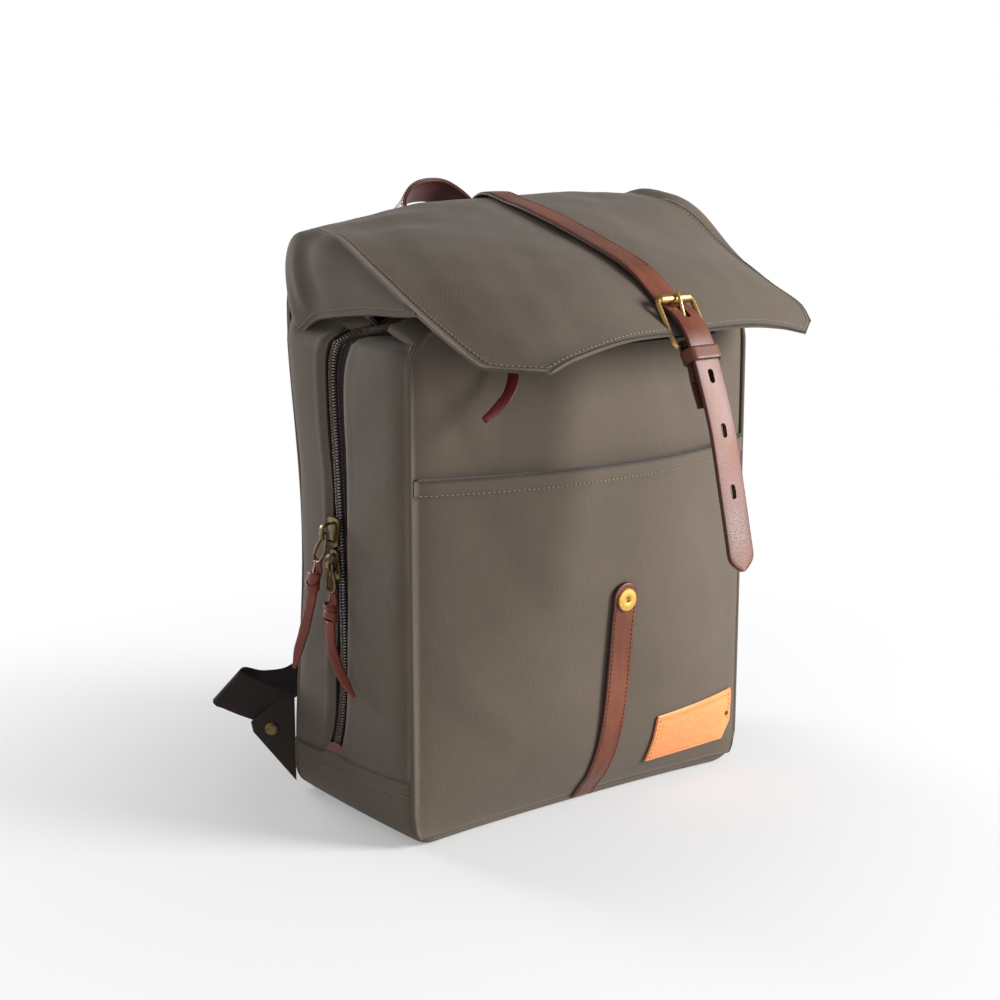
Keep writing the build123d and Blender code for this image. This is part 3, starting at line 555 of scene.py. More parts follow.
def rounded(width, height, corner, count=5, centre=(0, 0)):
    points = []
    for x, y, start in ((1, 1, 0), (-1, 1, 1), (-1, -1, 2), (1, -1, 3)):
        for t in np.linspace(0, math.pi / 2, count):
            angle = start * math.pi / 2 + t
            points.append((
                centre[0] + x * (width / 2 - corner) + corner * math.cos(angle),
                centre[1] + y * (height / 2 - corner) + corner * math.sin(angle),
            ))
    return points


STITCH_TURNS = np.linspace(0, 2 * math.pi, 6, endpoint=False)
STITCH_RINGS = ((-0.5, 0.35), (-0.3, 1.0), (0.3, 1.0), (0.5, 0.35))


def stitches(name, rows, look, pitch=3.4, length=2.5, width=0.42, lift=0.15):
    """Sewn thread: short rounded stitches along rows of (points, normals)."""
    vertices, faces, base = [], [], 0
    for line, normals in rows:
        line = np.asarray(line, float)
        total = length_along(line)[-1]
        count = max(2, int(total / pitch))
        spots = resample(np.hstack([line, normals]), count)
        places, up = spots[:, :3], unit(spots[:, 3:])
        tangent = unit(np.gradient(places, axis=0))
        side = np.cross(tangent, up)
        for place, t, u, s in zip(places, tangent, up, side):
            for shift, size in STITCH_RINGS:
                arch = 0.35 * width * (1 - (2 * shift) ** 2)
                centre = place + t * shift * length + u * (lift + arch)
                for turn in STITCH_TURNS:
                    vertices.append(centre + (s * math.cos(turn) + u * 0.8 * math.sin(turn)) * width * size)
            for ring in range(3):
                for k in range(6):
                    a = base + ring * 6 + k
                    b = base + ring * 6 + (k + 1) % 6
                    faces.append((a, b, b + 6, a + 6))
            faces.append(tuple(base + k for k in range(5, -1, -1)))
            faces.append(tuple(base + 18 + k for k in range(6)))
            base += 24
    return link(name, vertices, faces, look)


def edge_row(grid, edge, inset, flip=False, trim=0):
    """Points and normals on a grid's surface, inset from one edge: top, bottom, left or right."""
    grid = np.asarray(grid, float)
    normal = grid_normals(grid) * (-1 if flip else 1)
    if edge in ("left", "right"):
        grid, normal = grid.transpose(1, 0, 2), normal.transpose(1, 0, 2)
    if edge in ("bottom", "right"):
        grid, normal = grid[::-1], normal[::-1]
    points, ups = [], []
    for j in range(grid.shape[1]):
        along = length_along(grid[:, j])
        points.append([np.interp(inset, along, grid[:, j, k]) for k in range(3)])
        ups.append([np.interp(inset, along, normal[:, j, k]) for k in range(3)])
    line, ups = np.array(points), unit(np.array(ups))
    if trim:
        keep = length_along(line)
        inside = (keep > trim) & (keep < keep[-1] - trim)
        line, ups = line[inside], ups[inside]
    return line, ups


def joined(name, pieces):
    """One object from several, keeping their materials."""
    for each in bpy.context.selected_objects:
        each.select_set(False)
    for each in pieces:
        each.select_set(True)
    bpy.context.view_layer.objects.active = pieces[0]
    bpy.ops.object.join()
    pieces[0].name = name
    pieces[0].data.name = name
    return pieces[0]


def cut(target, cutters):
    """Cuts closed meshes out of a target, and removes the cutters."""
    for each in cutters:
        change = target.modifiers.new("cut", "BOOLEAN")
        change.object = each
        change.operation = "DIFFERENCE"
        change.solver = "EXACT"
    bpy.context.view_layer.update()
    graph = bpy.context.evaluated_depsgraph_get()
    mesh = bpy.data.meshes.new_from_object(target.evaluated_get(graph))
    target.modifiers.clear()
    target.data = mesh
    for each in cutters:
        bpy.data.objects.remove(each)
    return target


def wear(piece, body, slot, *nodes):
    """The piece rides on a body and stands for CAD nodes; slot is not used."""
    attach(piece, body)
    if nodes:
        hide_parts(*nodes)
    return piece


# ---- camera, light and floor ----------------------------------------------------------------
def make_camera():
    lens = bpy.data.cameras.new("camera")
    lens.lens = 66.0
    lens.sensor_width = 36.0
    camera = bpy.data.objects.new("camera", lens)
    bpy.context.scene.collection.objects.link(camera)
    camera.location = (-0.8069, -1.0258, 0.4814)
    camera.rotation_euler = (math.radians(90 - 11.806), 0, math.radians(-37.436))
    bpy.context.scene.camera = camera


def area_light(name, place, aim, size, power):
    data = bpy.data.lights.new(name, "AREA")
    data.shape = "DISK"
    data.size = size
    data.energy = power
    lamp = bpy.data.objects.new(name, data)
    bpy.context.scene.collection.objects.link(lamp)
    lamp.location = place
    way = np.array(aim, float) - np.array(place, float)
    tilt = math.atan2(math.hypot(way[0], way[1]), -way[2])
    lamp.rotation_euler = (tilt, 0, math.atan2(-way[0], way[1]))
    return lamp


def make_light():
    bpy.context.scene.view_settings.view_transform = "Standard"
    world = bpy.data.worlds.new("studio")
    bpy.context.scene.world = world
    world.use_nodes = True
    tree = world.node_tree
    sky = tree.nodes["Background"]
    sky.inputs[0].default_value = (1.0, 1.0, 1.0, 1)
    way = tree.nodes.new("ShaderNodeTexCoord")
    split = tree.nodes.new("ShaderNodeSeparateXYZ")
    fall = tree.nodes.new("ShaderNodeMapRange")
    for index, number in enumerate((0.10, 0.45, 1.0, 0.38), 1):
        fall.inputs[index].default_value = number
    tree.links.new(way.outputs["Generated"], split.inputs[0])
    tree.links.new(split.outputs[2], fall.inputs[0])
    tree.links.new(fall.outputs[0], sky.inputs[1])
    area_light("key", (1.45, -1.75, 1.0), (0, 0, 0.2), 1.1, 125.0)
    area_light("rim", (-0.55, 2.1, 0.8), (0, 0, 0.2), 1.0, 45.0)


def make_floor():
    """A pale round floor whose colour blends into white emission with distance from the bag: painted light
    that brightens it into the backdrop and washes out the cast shadows near the bag.
    """
    steps, turns = 40, 72
    rings = np.linspace(0, 1, steps) ** 1.7 * 6000
    angle = np.linspace(0, 2 * math.pi, turns, endpoint=False)
    points = [(0.0, 0.0, -0.3)]
    faces = []
    for radius in rings[1:]:
        points += [(radius * math.cos(a), radius * math.sin(a), -0.3) for a in angle]
    for k in range(turns):
        faces.append((0, 1 + k, 1 + (k + 1) % turns))
    for ring in range(steps - 2):
        for k in range(turns):
            a, b = 1 + ring * turns + k, 1 + ring * turns + (k + 1) % turns
            faces.append((a, a + turns, b + turns, b))
    look = Look("floor")
    place = look.place(source="Object")
    far = look.node("ShaderNodeVectorMath", {0: place}, operation="LENGTH").outputs["Value"]
    # Painted light: the share of white emission, rising with distance from the bag, which fades out the
    # floor's shadows.
    painted_glow = look.spread(far, 0.2, 0.62, 0.3, 1.0)
    look.put(look.shader.inputs["Base Color"], (0.6, 0.6, 0.603, 1))
    look.put(look.shader.inputs["Roughness"], 0.9)
    look.put(look.shader.inputs["Specular IOR Level"], 0.1)
    # White emission on the floor, not a lamp: painted light.
    lamp = look.node("ShaderNodeEmission", {"Color": (1, 1, 1, 1), "Strength": 1.0})
    blend = look.node("ShaderNodeMixShader", {0: painted_glow})
    look.links.new(look.shader.outputs[0], blend.inputs[1])
    look.links.new(lamp.outputs[0], blend.inputs[2])
    look.links.new(blend.outputs[0], look.nodes["Material Output"].inputs[0])
    link("floor", points, faces, look.material)


make_camera()
make_light()
make_floor()


# ---- laces ----------------------------------------------------------------------------------
LACE_UPPER = [
    (-0.1622, 0.0295, 0.1605), (-0.1634, 0.0325, 0.146), (-0.164, 0.040, 0.128),
    (-0.163, 0.051, 0.110), (-0.1602, 0.060, 0.097),
]
LACE_LOWER = [
    (-0.160, 0.011, 0.142), (-0.1615, 0.009, 0.129), (-0.1625, 0.002, 0.116),
    (-0.162, -0.009, 0.104), (-0.1605, -0.018, 0.095),
]
LACE_FRONT = [
    (-0.088, -0.0983, 0.3335), (-0.0895, -0.104, 0.322), (-0.096, -0.1095, 0.311), (-0.106, -0.111, 0.301),
    (-0.1175, -0.1085, 0.293),
]


def cord_line(route):
    """Points in metres along the smooth spline whose control points are the route."""
    curve = bpy.data.curves.new("route", "CURVE")
    curve.dimensions = "3D"
    curve.resolution_u = 12
    spline = curve.splines.new("NURBS")
    spline.points.add(len(route) - 1)
    for point, place in zip(spline.points, route):
        point.co = (*place, 1)
    spline.order_u = 3
    spline.use_endpoint_u = True
    holder = bpy.data.objects.new("route", curve)
    bpy.context.scene.collection.objects.link(holder)
    mesh = bpy.data.meshes.new_from_object(holder)
    line = [tuple(v.co) for v in mesh.vertices]
    bpy.data.objects.remove(holder)
    return line


def make_lace(name, route, width, tip, twist, look, body, node):
    """A flat leather thong with a cut, tapering end, turning as it hangs."""
    line = cord_line(route)
    points = resample(np.array(line) / MM, 40)
    share = np.linspace(0, 1, len(points))
    angle = np.radians(twist[0] + (twist[1] - twist[0]) * share)
    facing = np.stack([np.sin(angle), np.cos(angle), 0 * angle], axis=1)
    broad = width + (tip - width) * np.clip((share - 0.55) / 0.45, 0, 1) ** 1.6
    broad *= 1 + 0.05 * np.sin(share * 19)
    lace = strap(name, points, facing, broad, 2.2, look, crown=0.25, corner=0.7)
    wear(lace, body, "brown_leather", node)
    return lace


make_lace("lace_upper_thong", LACE_UPPER, 7.5, 3.0, (-15, -30), THONG, "pull_upper", "lace_upper")
make_lace("lace_lower_thong", LACE_LOWER, 7.5, 3.0, (-10, -42), THONG, "pull_lower", "lace_lower")
make_lace(
    "front_lace_thong", LACE_FRONT, 7.4, 4.6, (125, 115), MAROON, "front_slider", "front_lace",
)


# ---- the body -------------------------------------------------------------------------------
ZIP_PATH = [  # share of the wall's height from the boot to the top corner, and Y of the zip
    (0.0, 22.5), (0.08, 14.5), (0.2, 11.0), (0.4, 13.0), (0.59, 15.7), (0.76, 17.8), (0.86, 18.4),
    (0.93, 16.4),
    (0.978, 10.0), (1.025, 2.5), (1.07, -5.5), (1.165, -19.5), (1.25, -32.0), (1.35, -39.0), (1.5, -44.0),
    (2.0, -46.0), (2.5, -46.5),
]
SIDE_STEPS = np.concatenate([
    np.linspace(0, 0.85, 52), np.linspace(0.85, 1.3, 40)[1:], np.linspace(1.3, 1.5, 8)[1:],
    np.linspace(1.5, 2.5, 30)[1:],
])


def depth_share(y):
    return (np.asarray(y, float) - SEAM_FRONT) / (SEAM_BACK - SEAM_FRONT)


def boot_height(y):
    return BOOT_FRONT + (BOOT_BACK - BOOT_FRONT) * depth_share(y)


def wall_point(r, y, side):
    """(X, Y, Z) and outward normal on the gusset: r is 0 at the boot, 1 where the top corner
    begins, 1.5 where it ends and 2.5 at the middle of the top."""
    r, y = np.broadcast_arrays(np.asarray(r, float), np.asarray(y, float))
    top = FRONT_TOP + (BACK_TOP - FRONT_TOP) * depth_share(y)
    corner = FRONT_CORNER + (BACK_CORNER - FRONT_CORNER) * depth_share(y)
    low = boot_height(y)
    angle = np.clip((r - 1) * math.pi, 0, math.pi / 2)
    x = HALF_WIDTH - corner + corner * np.cos(angle)
    z = top - corner + corner * np.sin(angle)
    z = np.where(r < 1, low + (top - corner - low) * r, z)
    x = np.where(r > 1.5, (HALF_WIDTH - corner) * (2.5 - r), x)
    normal = np.stack([side * np.cos(angle), 0 * angle, np.sin(angle)], axis=-1)
    return np.stack([side * x, y, z], axis=-1), normal


def waist(points):
    """How far the soft rear edge of the side sinks between the boot and the shoulder."""
    height = np.clip((points[..., 2] - 40) / 300, 0, 1)
    rear = np.clip(depth_share(points[..., 1]), 0, 1) ** 2
    shoulder = np.clip((points[..., 2] - 332) / 24, 0, 1) ** 1.3
    hollow = np.clip((points[..., 2] - 333) / 9, 0, 1) * np.clip((np.abs(points[..., 0]) - 112) / 25, 0, 1)
    hollow = hollow * np.clip((62 - points[..., 1]) / 22, 0, 1)
    return 8.5 * np.sin(math.pi * np.clip(height, 0, 1)) ** 1.5 * rear + 7.0 * shoulder + 12.0 * hollow


def side_shape(points, seed):
    """Outward displacement of the side canvas: undulation, slanting creases, waist."""
    mirrored = points * np.array([-1.0 if seed % 2 else 1.0, 1, 1])
    lift = 0.9 * ripple(points, seed, 95.0) - waist(points)
    lift += crease(mirrored, (-150, -66, 215), (-150, -6, 250), 9, 1.6)
    lift += crease(mirrored, (-150, -62, 150), (-150, -12, 108), 12, -1.5)
    lift += crease(mirrored, (-150, -60, 96), (-150, -8, 62), 9, 1.4)
    lift += crease(mirrored, (-150, 64, 250), (-150, 32, 205), 10, 1.5)
    lift += crease(mirrored, (-150, 66, 120), (-150, 36, 72), 9, 1.6)
    lift += crease(mirrored, (-150, 66, 178), (-150, 34, 150), 11, -1.4)
    return lift


ZIP_LINE = smooth_line(ZIP_PATH, 240)


def zip_y(r):
    return np.interp(r, ZIP_LINE[:, 0], ZIP_LINE[:, 1])


def side_fade(r):
    """1 on the sides, falling to 0 over the top corner, where the zip lies flat."""
    return np.clip((1.5 - r) / 0.5, 0, 1)


def gusset_rows(front, side, seed):
    """Grid of one half of the gusset, from the boot to the middle of the top, seam to zip."""
    rows = []
    for r in SIDE_STEPS:
        gap = 9.0 + (8.0 * side_fade(r) * np.clip((r - 0.3) / 0.45, 0, 1) if front else 0.0)
        edge = zip_y(r) + (-gap if front else 9.0)
        seam = SEAM_FRONT if front else SEAM_BACK
        share = np.linspace(0, 1, 22)
        y = seam + (edge - seam) * share
        points, normal = wall_point(np.full(22, r), y, side)
        near_seam = 1 - np.exp(-(np.abs(y - seam) / 7.0) ** 1.3)
        near_zip = 1 - np.exp(-(np.abs(y - edge) / 5.0) ** 1.2)
        puff = 2.8 * near_seam * near_zip - 0.4 * (1 - near_seam)
        puff = puff + 1.3 * np.exp(-(((np.abs(y - edge) - 4.5) / 3.0) ** 2))
        lift = puff + side_shape(points, seed) * near_seam * np.clip(1 - 0.9 * (r > 1.2), 0.1, 1)
        if not front:
            lift = puff + side_shape(points, seed) * np.clip(1.0 - 0.9 * (r > 1.2), 0.1, 1)
        rows.append(points + normal * lift[:, None])
    return np.array(rows)


def whole_gusset(front, seed):
    left = gusset_rows(front, -1, seed)
    right = gusset_rows(front, 1, seed + 1)
    return np.concatenate([left, right[-2::-1]])


def band_on_wall(offset_front, offset_back, sink, count):
    """A strip that follows the zip round the bag, sunk below the wall."""
    halves = []
    for side in (-1, 1):
        rows = []
        for r in SIDE_STEPS:
            y = np.linspace(zip_y(r) + offset_front, zip_y(r) + offset_back, count)
            points, normal = wall_point(np.full(count, r), y, side)
            rows.append(points + normal * (-sink - waist(points) * side_fade(r))[:, None])
        halves.append(np.array(rows))
    return np.concatenate([halves[0], halves[1][-2::-1]])


def zip_row(shift, sink):
    """A line along the zip, shift to its rear, with the wall's normals."""
    halves = []
    fine = resample(np.column_stack([SIDE_STEPS * 0, SIDE_STEPS]), 420)[:, 1]
    for side in (-1, 1):
        points, normal = wall_point(fine, zip_y(fine) + shift, side)
        points = points + normal * (-sink - waist(points) * side_fade(fine))[:, None]
        halves.append((points, normal))
    line = np.concatenate([halves[0][0], halves[1][0][-2::-1]])
    return line, np.concatenate([halves[0][1], halves[1][1][-2::-1]])


def make_gusset():
    front = whole_gusset(True, 11)
    rear = whole_gusset(False, 21)
    wear(cloth("gusset_front", front, CANVAS, flip=True), "pack", "canvas",
         "side_front_left", "side_front_right", "top_front")
    wear(cloth("gusset_rear", rear, CANVAS), "pack", "canvas",
         "side_rear_left", "side_rear_right", "top_rear")
    rows = [edge_row(front, "right", 5.0, flip=True), edge_row(rear, "right", 5.0)]
    wear(stitches("zip_edge_stitches", rows, THREAD, 3.6, 2.4, 0.3), "pack", "canvas")


def make_main_zip():
    tape = band_on_wall(-20.5, 14.0, 1.0, 11)
    wear(cloth("zip_tape_woven", tape, TAPE, 0.8), "pack", "zip_tape", "main_zip_tape")
    pieces = []
    for shift, phase in ((-1.9, 0.0), (1.9, 0.5)):
        line, up = zip_row(shift, -1.0)
        pitch = 2.1
        total = length_along(line)[-1]
        count = int(total / pitch)
        spots = resample(np.hstack([line, up]), count * 2 + 1)
        chosen = spots[(0 if phase == 0 else 1)::2]
        pieces.append((chosen[:, :3], unit(chosen[:, 3:])))
    vertices, faces, base = [], [], 0
    for (places, ups), lean in zip(pieces, (0.35, -0.35)):
        along = unit(np.gradient(places, axis=0))
        for place, up, t in zip(places, ups, along):
            side = np.cross(t, up)
            axis = unit(side + t * lean)
            other = unit(np.cross(up, axis))
            for shift, size in ((-0.5, 0.55), (-0.36, 1.0), (0.36, 1.0), (0.5, 0.55)):
                for k in range(8):
                    turn = k * math.pi / 4
                    vertices.append(
                        place + axis * shift * 4.4
                        + (other * math.cos(turn) * 0.62 + up * math.sin(turn) * 0.95) * size
                    )
            for ring in range(3):
                for k in range(8):
                    a, b = base + ring * 8 + k, base + ring * 8 + (k + 1) % 8
                    faces.append((a, b, b + 8, a + 8))
            faces.append(tuple(base + k for k in range(7, -1, -1)))
            faces.append(tuple(base + 24 + k for k in range(8)))
            base += 32
    wear(link("zip_coil_teeth", vertices, faces, COIL), "pack", "zip_coil", "main_zip_coil")
    rows = [zip_row(shift, 0.1) for shift in (-6.2, 6.2)]
    wear(stitches("zip_tape_stitches", rows, COIL, 2.6, 1.9, 0.3), "pack", "zip_tape")


POCKET_BULGE = [
    (0, -13), (6, -8), (13, -3), (22, 4.5), (31, 10), (46, 17), (67, 23), (88, 26.5), (114, 29.5), (140, 32),
    (160, 34.5), (210, 38), (POCKET_TOP, 38.5),
]
PANEL_BULGE = [
    (0, -16), (8, -10), (30, 3), (60, 12), (100, 18), (150, 25), (230, 29.5), (285, 29), (320, 23),
    (338, 14), (351, 4),
]


def bulge(table, z):
    fine = smooth_line(table, 120)
    return np.interp(z, fine[:, 0], fine[:, 1])


def arch(x):
    """Shape of the front across the bag: full in the middle, turning in at the seams."""
    return 1 - np.abs(np.asarray(x, float) / HALF_WIDTH) ** 2.35


def front_creases(points):
    """Soft folds in the front cloth."""
    lift = 1.0 * ripple(points, 5, 120.0)
    lift += crease(points, (-120, -90, 240), (-60, -105, 150), 16, -1.8)
    lift += crease(points, (-130, -85, 120), (-70, -100, 60), 14, 1.6)
    lift += crease(points, (60, -100, 230), (120, -90, 150), 16, -1.5)
    lift += crease(points, (30, -100, 110), (90, -95, 90), 15, 1.3)
    lift += crease(points, (-146, -78, 330), (-112, -92, 262), 9, -2.0)
    lift += crease(points, (-90, -100, 310), (-100, -100, 262), 10, -1.6)
    lift += crease(points, (40, -102, 320), (70, -100, 265), 12, -1.4)
    return lift


def half_across(z, top):
    """Half the front's width at a height, where its corners are rounded."""
    over = np.clip(z - (top - FRONT_CORNER), 0, FRONT_CORNER)
    under = np.clip(BASE_CORNER - z, 0, BASE_CORNER)
    half = HALF_WIDTH - FRONT_CORNER + np.sqrt(FRONT_CORNER**2 - over**2)
    return half - BASE_CORNER + np.sqrt(BASE_CORNER**2 - under**2)


def front_surface(table, low, high, offset, steps):
    """Grid of a bulging front wall between two heights, left seam to right seam."""
    rows = []
    for z in np.linspace(low, high, steps):
        x = np.sin(np.linspace(-math.pi / 2, math.pi / 2, 61)) * 0.35 + np.linspace(-1, 1, 61) * 0.65
        x = x * half_across(z, FRONT_TOP)
        y = SEAM_FRONT - offset - bulge(table, z) * arch(x)
        rows.append(np.column_stack([x, y, np.full_like(x, z)]))
    grid = np.array(rows)
    hold = np.clip((HALF_WIDTH - np.abs(grid[..., 0])) / 25, 0, 1)
    grid[..., 1] -= front_creases(grid) * hold
    roll = np.exp(-((HALF_WIDTH - np.abs(grid[..., 0])) / 6.0) ** 2)
    grid[..., 1] += 1.2 * roll
    return grid


def pocket_y(x, z):
    return SEAM_FRONT - 5.1 - bulge(POCKET_BULGE, z) * arch(x)


SETTLE = 5.5  # how far the right front seam has sunk in


def settle(x, y=SEAM_FRONT):
    """How far the bag's right side leans in: all of SETTLE at the front seam, none at the back."""
    share = np.clip(np.asarray(x, float) / HALF_WIDTH, 0, 1) ** 2
    return SETTLE * share * np.clip((SEAM_BACK - y) / (SEAM_BACK - SEAM_FRONT), 0, 1)


def lean_in(*names):
    """Moves finished pieces of the body with its leaning right side."""
    for name in names:
        mesh = bpy.data.objects[name].data
        points = np.zeros(len(mesh.vertices) * 3)
        mesh.vertices.foreach_get("co", points)
        points = points.reshape(-1, 3)
        points[:, 0] -= settle(points[:, 0] / MM, points[:, 1] / MM) * MM
        mesh.vertices.foreach_set("co", points.ravel())
        mesh.update()


def make_front():
    panel = front_surface(PANEL_BULGE, 8.0, FRONT_TOP - 0.5, 2.5, 70)
    wear(cloth("front_panel_cloth", panel, CANVAS, flip=True), "pack", "canvas", "front_panel")
    pocket = front_surface(POCKET_BULGE, 7.0, POCKET_TOP, 5.1, 76)
    hem = np.clip((pocket[..., 2] - (POCKET_TOP - 12)) / 1.5, 0, 1)
    pocket[..., 1] -= 0.9 * hem
    pocket[..., 2] -= 1.5 * (1 - arch(pocket[..., 0])) * hem
    wear(cloth("front_pocket_cloth", pocket, CANVAS, 2.8, flip=True), "pack", "canvas", "front_pocket")
    row = edge_row(pocket, "bottom", 10.0, flip=True, trim=3)
    wear(stitches("pocket_hem_stitches", [row], THREAD), "pack", "canvas")


def front_edge_y(x):
    """Y of the base's front edge."""
    return SEAM_FRONT - 4.0 + 6.5 * arch(x)


def base_outline():
    """(X, Z) of the boot, from the left seam down, under the bag and up to the right seam."""
    down = [(-HALF_WIDTH, z) for z in np.linspace(1, 0, 14)]
    turn = np.linspace(0, math.pi / 2, 9)
    arc = [(-HALF_WIDTH + BASE_CORNER * (1 - math.cos(t)), BASE_CORNER * (1 - math.sin(t))) for t in turn]
    under = [(x, 0.0) for x in np.linspace(-HALF_WIDTH + BASE_CORNER, 0, 22)]
    return down, arc[1:], under[1:]


def boot_turn(kind, x):
    """How far the boot has turned under at x: 0 on the side, a quarter turn underneath."""
    if kind == "down":
        return 0.0
    if kind == "under":
        return math.pi / 2
    return math.acos(min(max(1 - (x + HALF_WIDTH) / BASE_CORNER, 0), 1))


def make_boot():
    down, arc, under = base_outline()
    half = []
    depths = np.concatenate([np.linspace(0, 0.9, 20), 0.9 + 0.1 * np.sin(np.linspace(0, math.pi / 2, 9))[1:]])
    for kind, places in (("down", down), ("arc", arc), ("under", under)):
        for x, z in places:
            front = front_edge_y(x)
            y = SEAM_BACK + 3.0 + (front - SEAM_BACK - 3.0) * depths
            height = np.full_like(y, z)
            if kind == "down":
                top = boot_height(np.clip(y, SEAM_FRONT, SEAM_BACK)) + 1.0
                height = BASE_CORNER + (top - BASE_CORNER) * z
            turn = boot_turn(kind, x)
            under_share = math.sin(turn) ** 2
            gap = np.abs(y - front)
            curl = np.clip(7.0 - gap, 0, 7)
            rise = 7.0 - np.sqrt(np.maximum(49 - curl**2, 0))
            tuck = 2.0 * np.exp(-(gap / 4.0) ** 2)
            swell = 2.2 * np.sin(math.pi * np.clip((SEAM_BACK - y) / 144, 0, 1)) ** 0.6
            inward = tuck * (1 - under_share) + rise * under_share - swell * (1 - under_share) - 1.6
            half.append(np.column_stack([
                x + inward * math.cos(turn), y, np.maximum(
                    height + inward * math.sin(turn) + 1.6 * under_share, 0.02,
                ),
            ]))
    left = np.array(half)
    right = left[-2::-1] * np.array([-1, 1, 1])
    grid = np.concatenate([left, right])
    wear(cloth("boot_cloth", grid, CANVAS, 2.4), "pack", "canvas", "base_panel", "base_stiffener")
    rows = []
    for inset in (4.0, 12.0):
        for edge in ("top", "bottom"):
            rows.append(edge_row(grid, edge, inset, trim=6))
    wear(stitches("boot_stitches", rows, THREAD, 3.5, 2.5, 0.4), "pack", "canvas")


def front_outline():
    """The front seam as a closed loop of points, with the bottom following the base."""
    half = HALF_WIDTH
    top = FRONT_TOP
    turn = np.linspace(0, math.pi / 2, 10)
    loop = [(0, top)]
    loop += [(-half + FRONT_CORNER * (1 - math.sin(t)), top - FRONT_CORNER * (1 - math.cos(t))) for t in turn]
    loop += [(-half, z) for z in np.linspace(top - FRONT_CORNER, BASE_CORNER + 6, 24)[1:]]
    loop += [(-half + BASE_CORNER * (1 - math.cos(t)), 6 + BASE_CORNER * (1 - math.sin(t))) for t in turn[1:]]
    loop += [(x, 6) for x in np.linspace(-half + BASE_CORNER, 0, 12)[1:]]
    loop += [(-x, z) for x, z in loop[-2:0:-1]]
    flat = resample(np.array(loop + loop[:1]), 200)[:-1]
    low = np.clip((40 - flat[:, 1]) / 34, 0, 1) ** 2
    y = SEAM_FRONT - 2.5 - low * (SEAM_FRONT - 4.5 - front_edge_y(flat[:, 0]))
    return np.column_stack([flat[:, 0], y, flat[:, 1]])


def make_seams():
    welt = front_outline()
    outward = unit(welt - welt.mean(axis=0))
    wear(
        tube("front_welt", welt + outward * np.array([0.8, 0, 0]), 1.9, CANVAS, 10, closed=True),
        "pack", "canvas",
    )
    rows = []
    for side in (-1, 1):
        r = np.linspace(0, 2.5, 150)
        points, normal = wall_point(r, np.full(150, SEAM_BACK + 1.0), side)
        points = points - normal * waist(points)[:, None]
        rows.append(points)
    top = np.concatenate([rows[0], rows[1][-2::-1]])
    low = [(HALF_WIDTH, 76, z) for z in np.linspace(boot_height(72), BASE_CORNER, 8)]
    low += [(HALF_WIDTH - BASE_CORNER * (1 - math.cos(t)), 76, BASE_CORNER * (1 - math.sin(t)))
            for t in np.linspace(0, math.pi / 2, 8)[1:]]
    low = np.array(low) + np.array([0, -1.0, 1.6])
    loop = np.concatenate([top, low, (low * np.array([-1, 1, 1]))[::-1]])
    loop = resample(np.vstack([loop, loop[:1]]), 260)[:-1]
    wear(tube("back_welt", loop, 2.1, CANVAS, 10, closed=True), "pack", "canvas")


make_gusset()
make_main_zip()
make_front()
make_boot()
make_seams()
lean_in(
    "gusset_front", "gusset_rear", "zip_edge_stitches", "zip_tape_woven", "zip_coil_teeth",
    "zip_tape_stitches",
    "front_panel_cloth", "front_pocket_cloth", "pocket_hem_stitches", "boot_cloth", "boot_stitches",
    "front_welt",
    "back_welt",
)


# ---- the hood -------------------------------------------------------------------------------
HOOD_ROWS = [
    [
        (-126, 78.5, 386), (-92, 79, 385), (-48, 79.5, 385), (0, 79.5, 385), (52, 79.5, 385),
        (96, 79, 385), (126, 78.5, 386),
    ],
    [
        (-132, 76, 395), (-97, 77, 398), (-49, 77.5, 401), (0, 77.5, 402), (54, 77.5, 402),
        (101, 77, 400), (131, 76, 396),
    ],
    [
        (-135, 66, 402), (-100, 68, 408), (-50, 68, 414), (0, 66, 416), (55, 66, 417), (105, 66, 415),
        (134, 66, 412),
    ],
    [
        (-140, 53, 407), (-100, 55, 412.5), (-50, 52, 421.5), (0, 46, 424), (55, 47, 426.5),
        (105, 46, 425.5), (134, 50, 424),
    ],
    [(-149, 9, 403), (-101, 8, 409), (-50, 6, 414), (0, 5, 416), (52, 5, 418), (104, 4, 418), (151, 2, 416)],
    [
        (-154, -32, 388), (-104, -36, 398), (-52, -38, 404.5), (0, -38, 405), (54, -38, 406.5),
        (108, -38, 401), (161, -38, 386.5),
    ],
    [
        (-156, -88, 363), (-108, -90, 379), (-54, -90, 388.5), (0, -90, 391), (54, -90, 390),
        (106, -89, 383), (157, -88, 365),
    ],
    [
        (-153, -121, 346.5), (-108, -126, 362), (-55, -127, 373), (0, -124, 377), (54, -122, 375),
        (105, -120, 366), (157, -118, 352),
    ],
    [
        (-148, -146, 333.5), (-106, -155, 346.5), (-54, -153, 357.5), (0, -150, 359.5),
        (53, -146, 358.5), (104, -138, 352), (152, -134, 341),
    ],
    [
        (-118, -176, 331.4), (-97, -176, 339), (-52, -172.5, 346), (0, -168, 346.5), (62, -160, 346),
        (106, -150, 341), (138, -143, 334.5),
    ],
]
LEFT_WING = [
    [(-135, 63, 404), (-147, 68, 400), (-151, 70, 385), (-150, 70, 360), (-145, 69, 336)],
    [(-140, 55, 407), (-153, 59, 402), (-158.5, 61, 385), (-157, 61, 360), (-150.5, 61, 332)],
    [(-145, 32, 405.5), (-155, 35, 399), (-159.5, 36, 384), (-157.5, 37, 366), (-152, 37, 345.5)],
    [(-149, 9, 403), (-156, 10, 396), (-159.5, 11, 384), (-158, 12, 368), (-154, 13, 350.5)],
    [(-154, -32, 388), (-157, -32, 382), (-158.5, -32, 375), (-158, -32, 366), (-155.5, -32, 356)],
    [(-155.5, -62, 375), (-157, -62, 371), (-158, -62, 367), (-157.5, -62, 362), (-156, -62, 357.5)],
    [
        (-156, -88, 363), (-156.5, -88.5, 362.2), (-156.8, -89, 361.4), (-156.5, -90, 360.4),
        (-156, -91, 359.5),
    ],
]
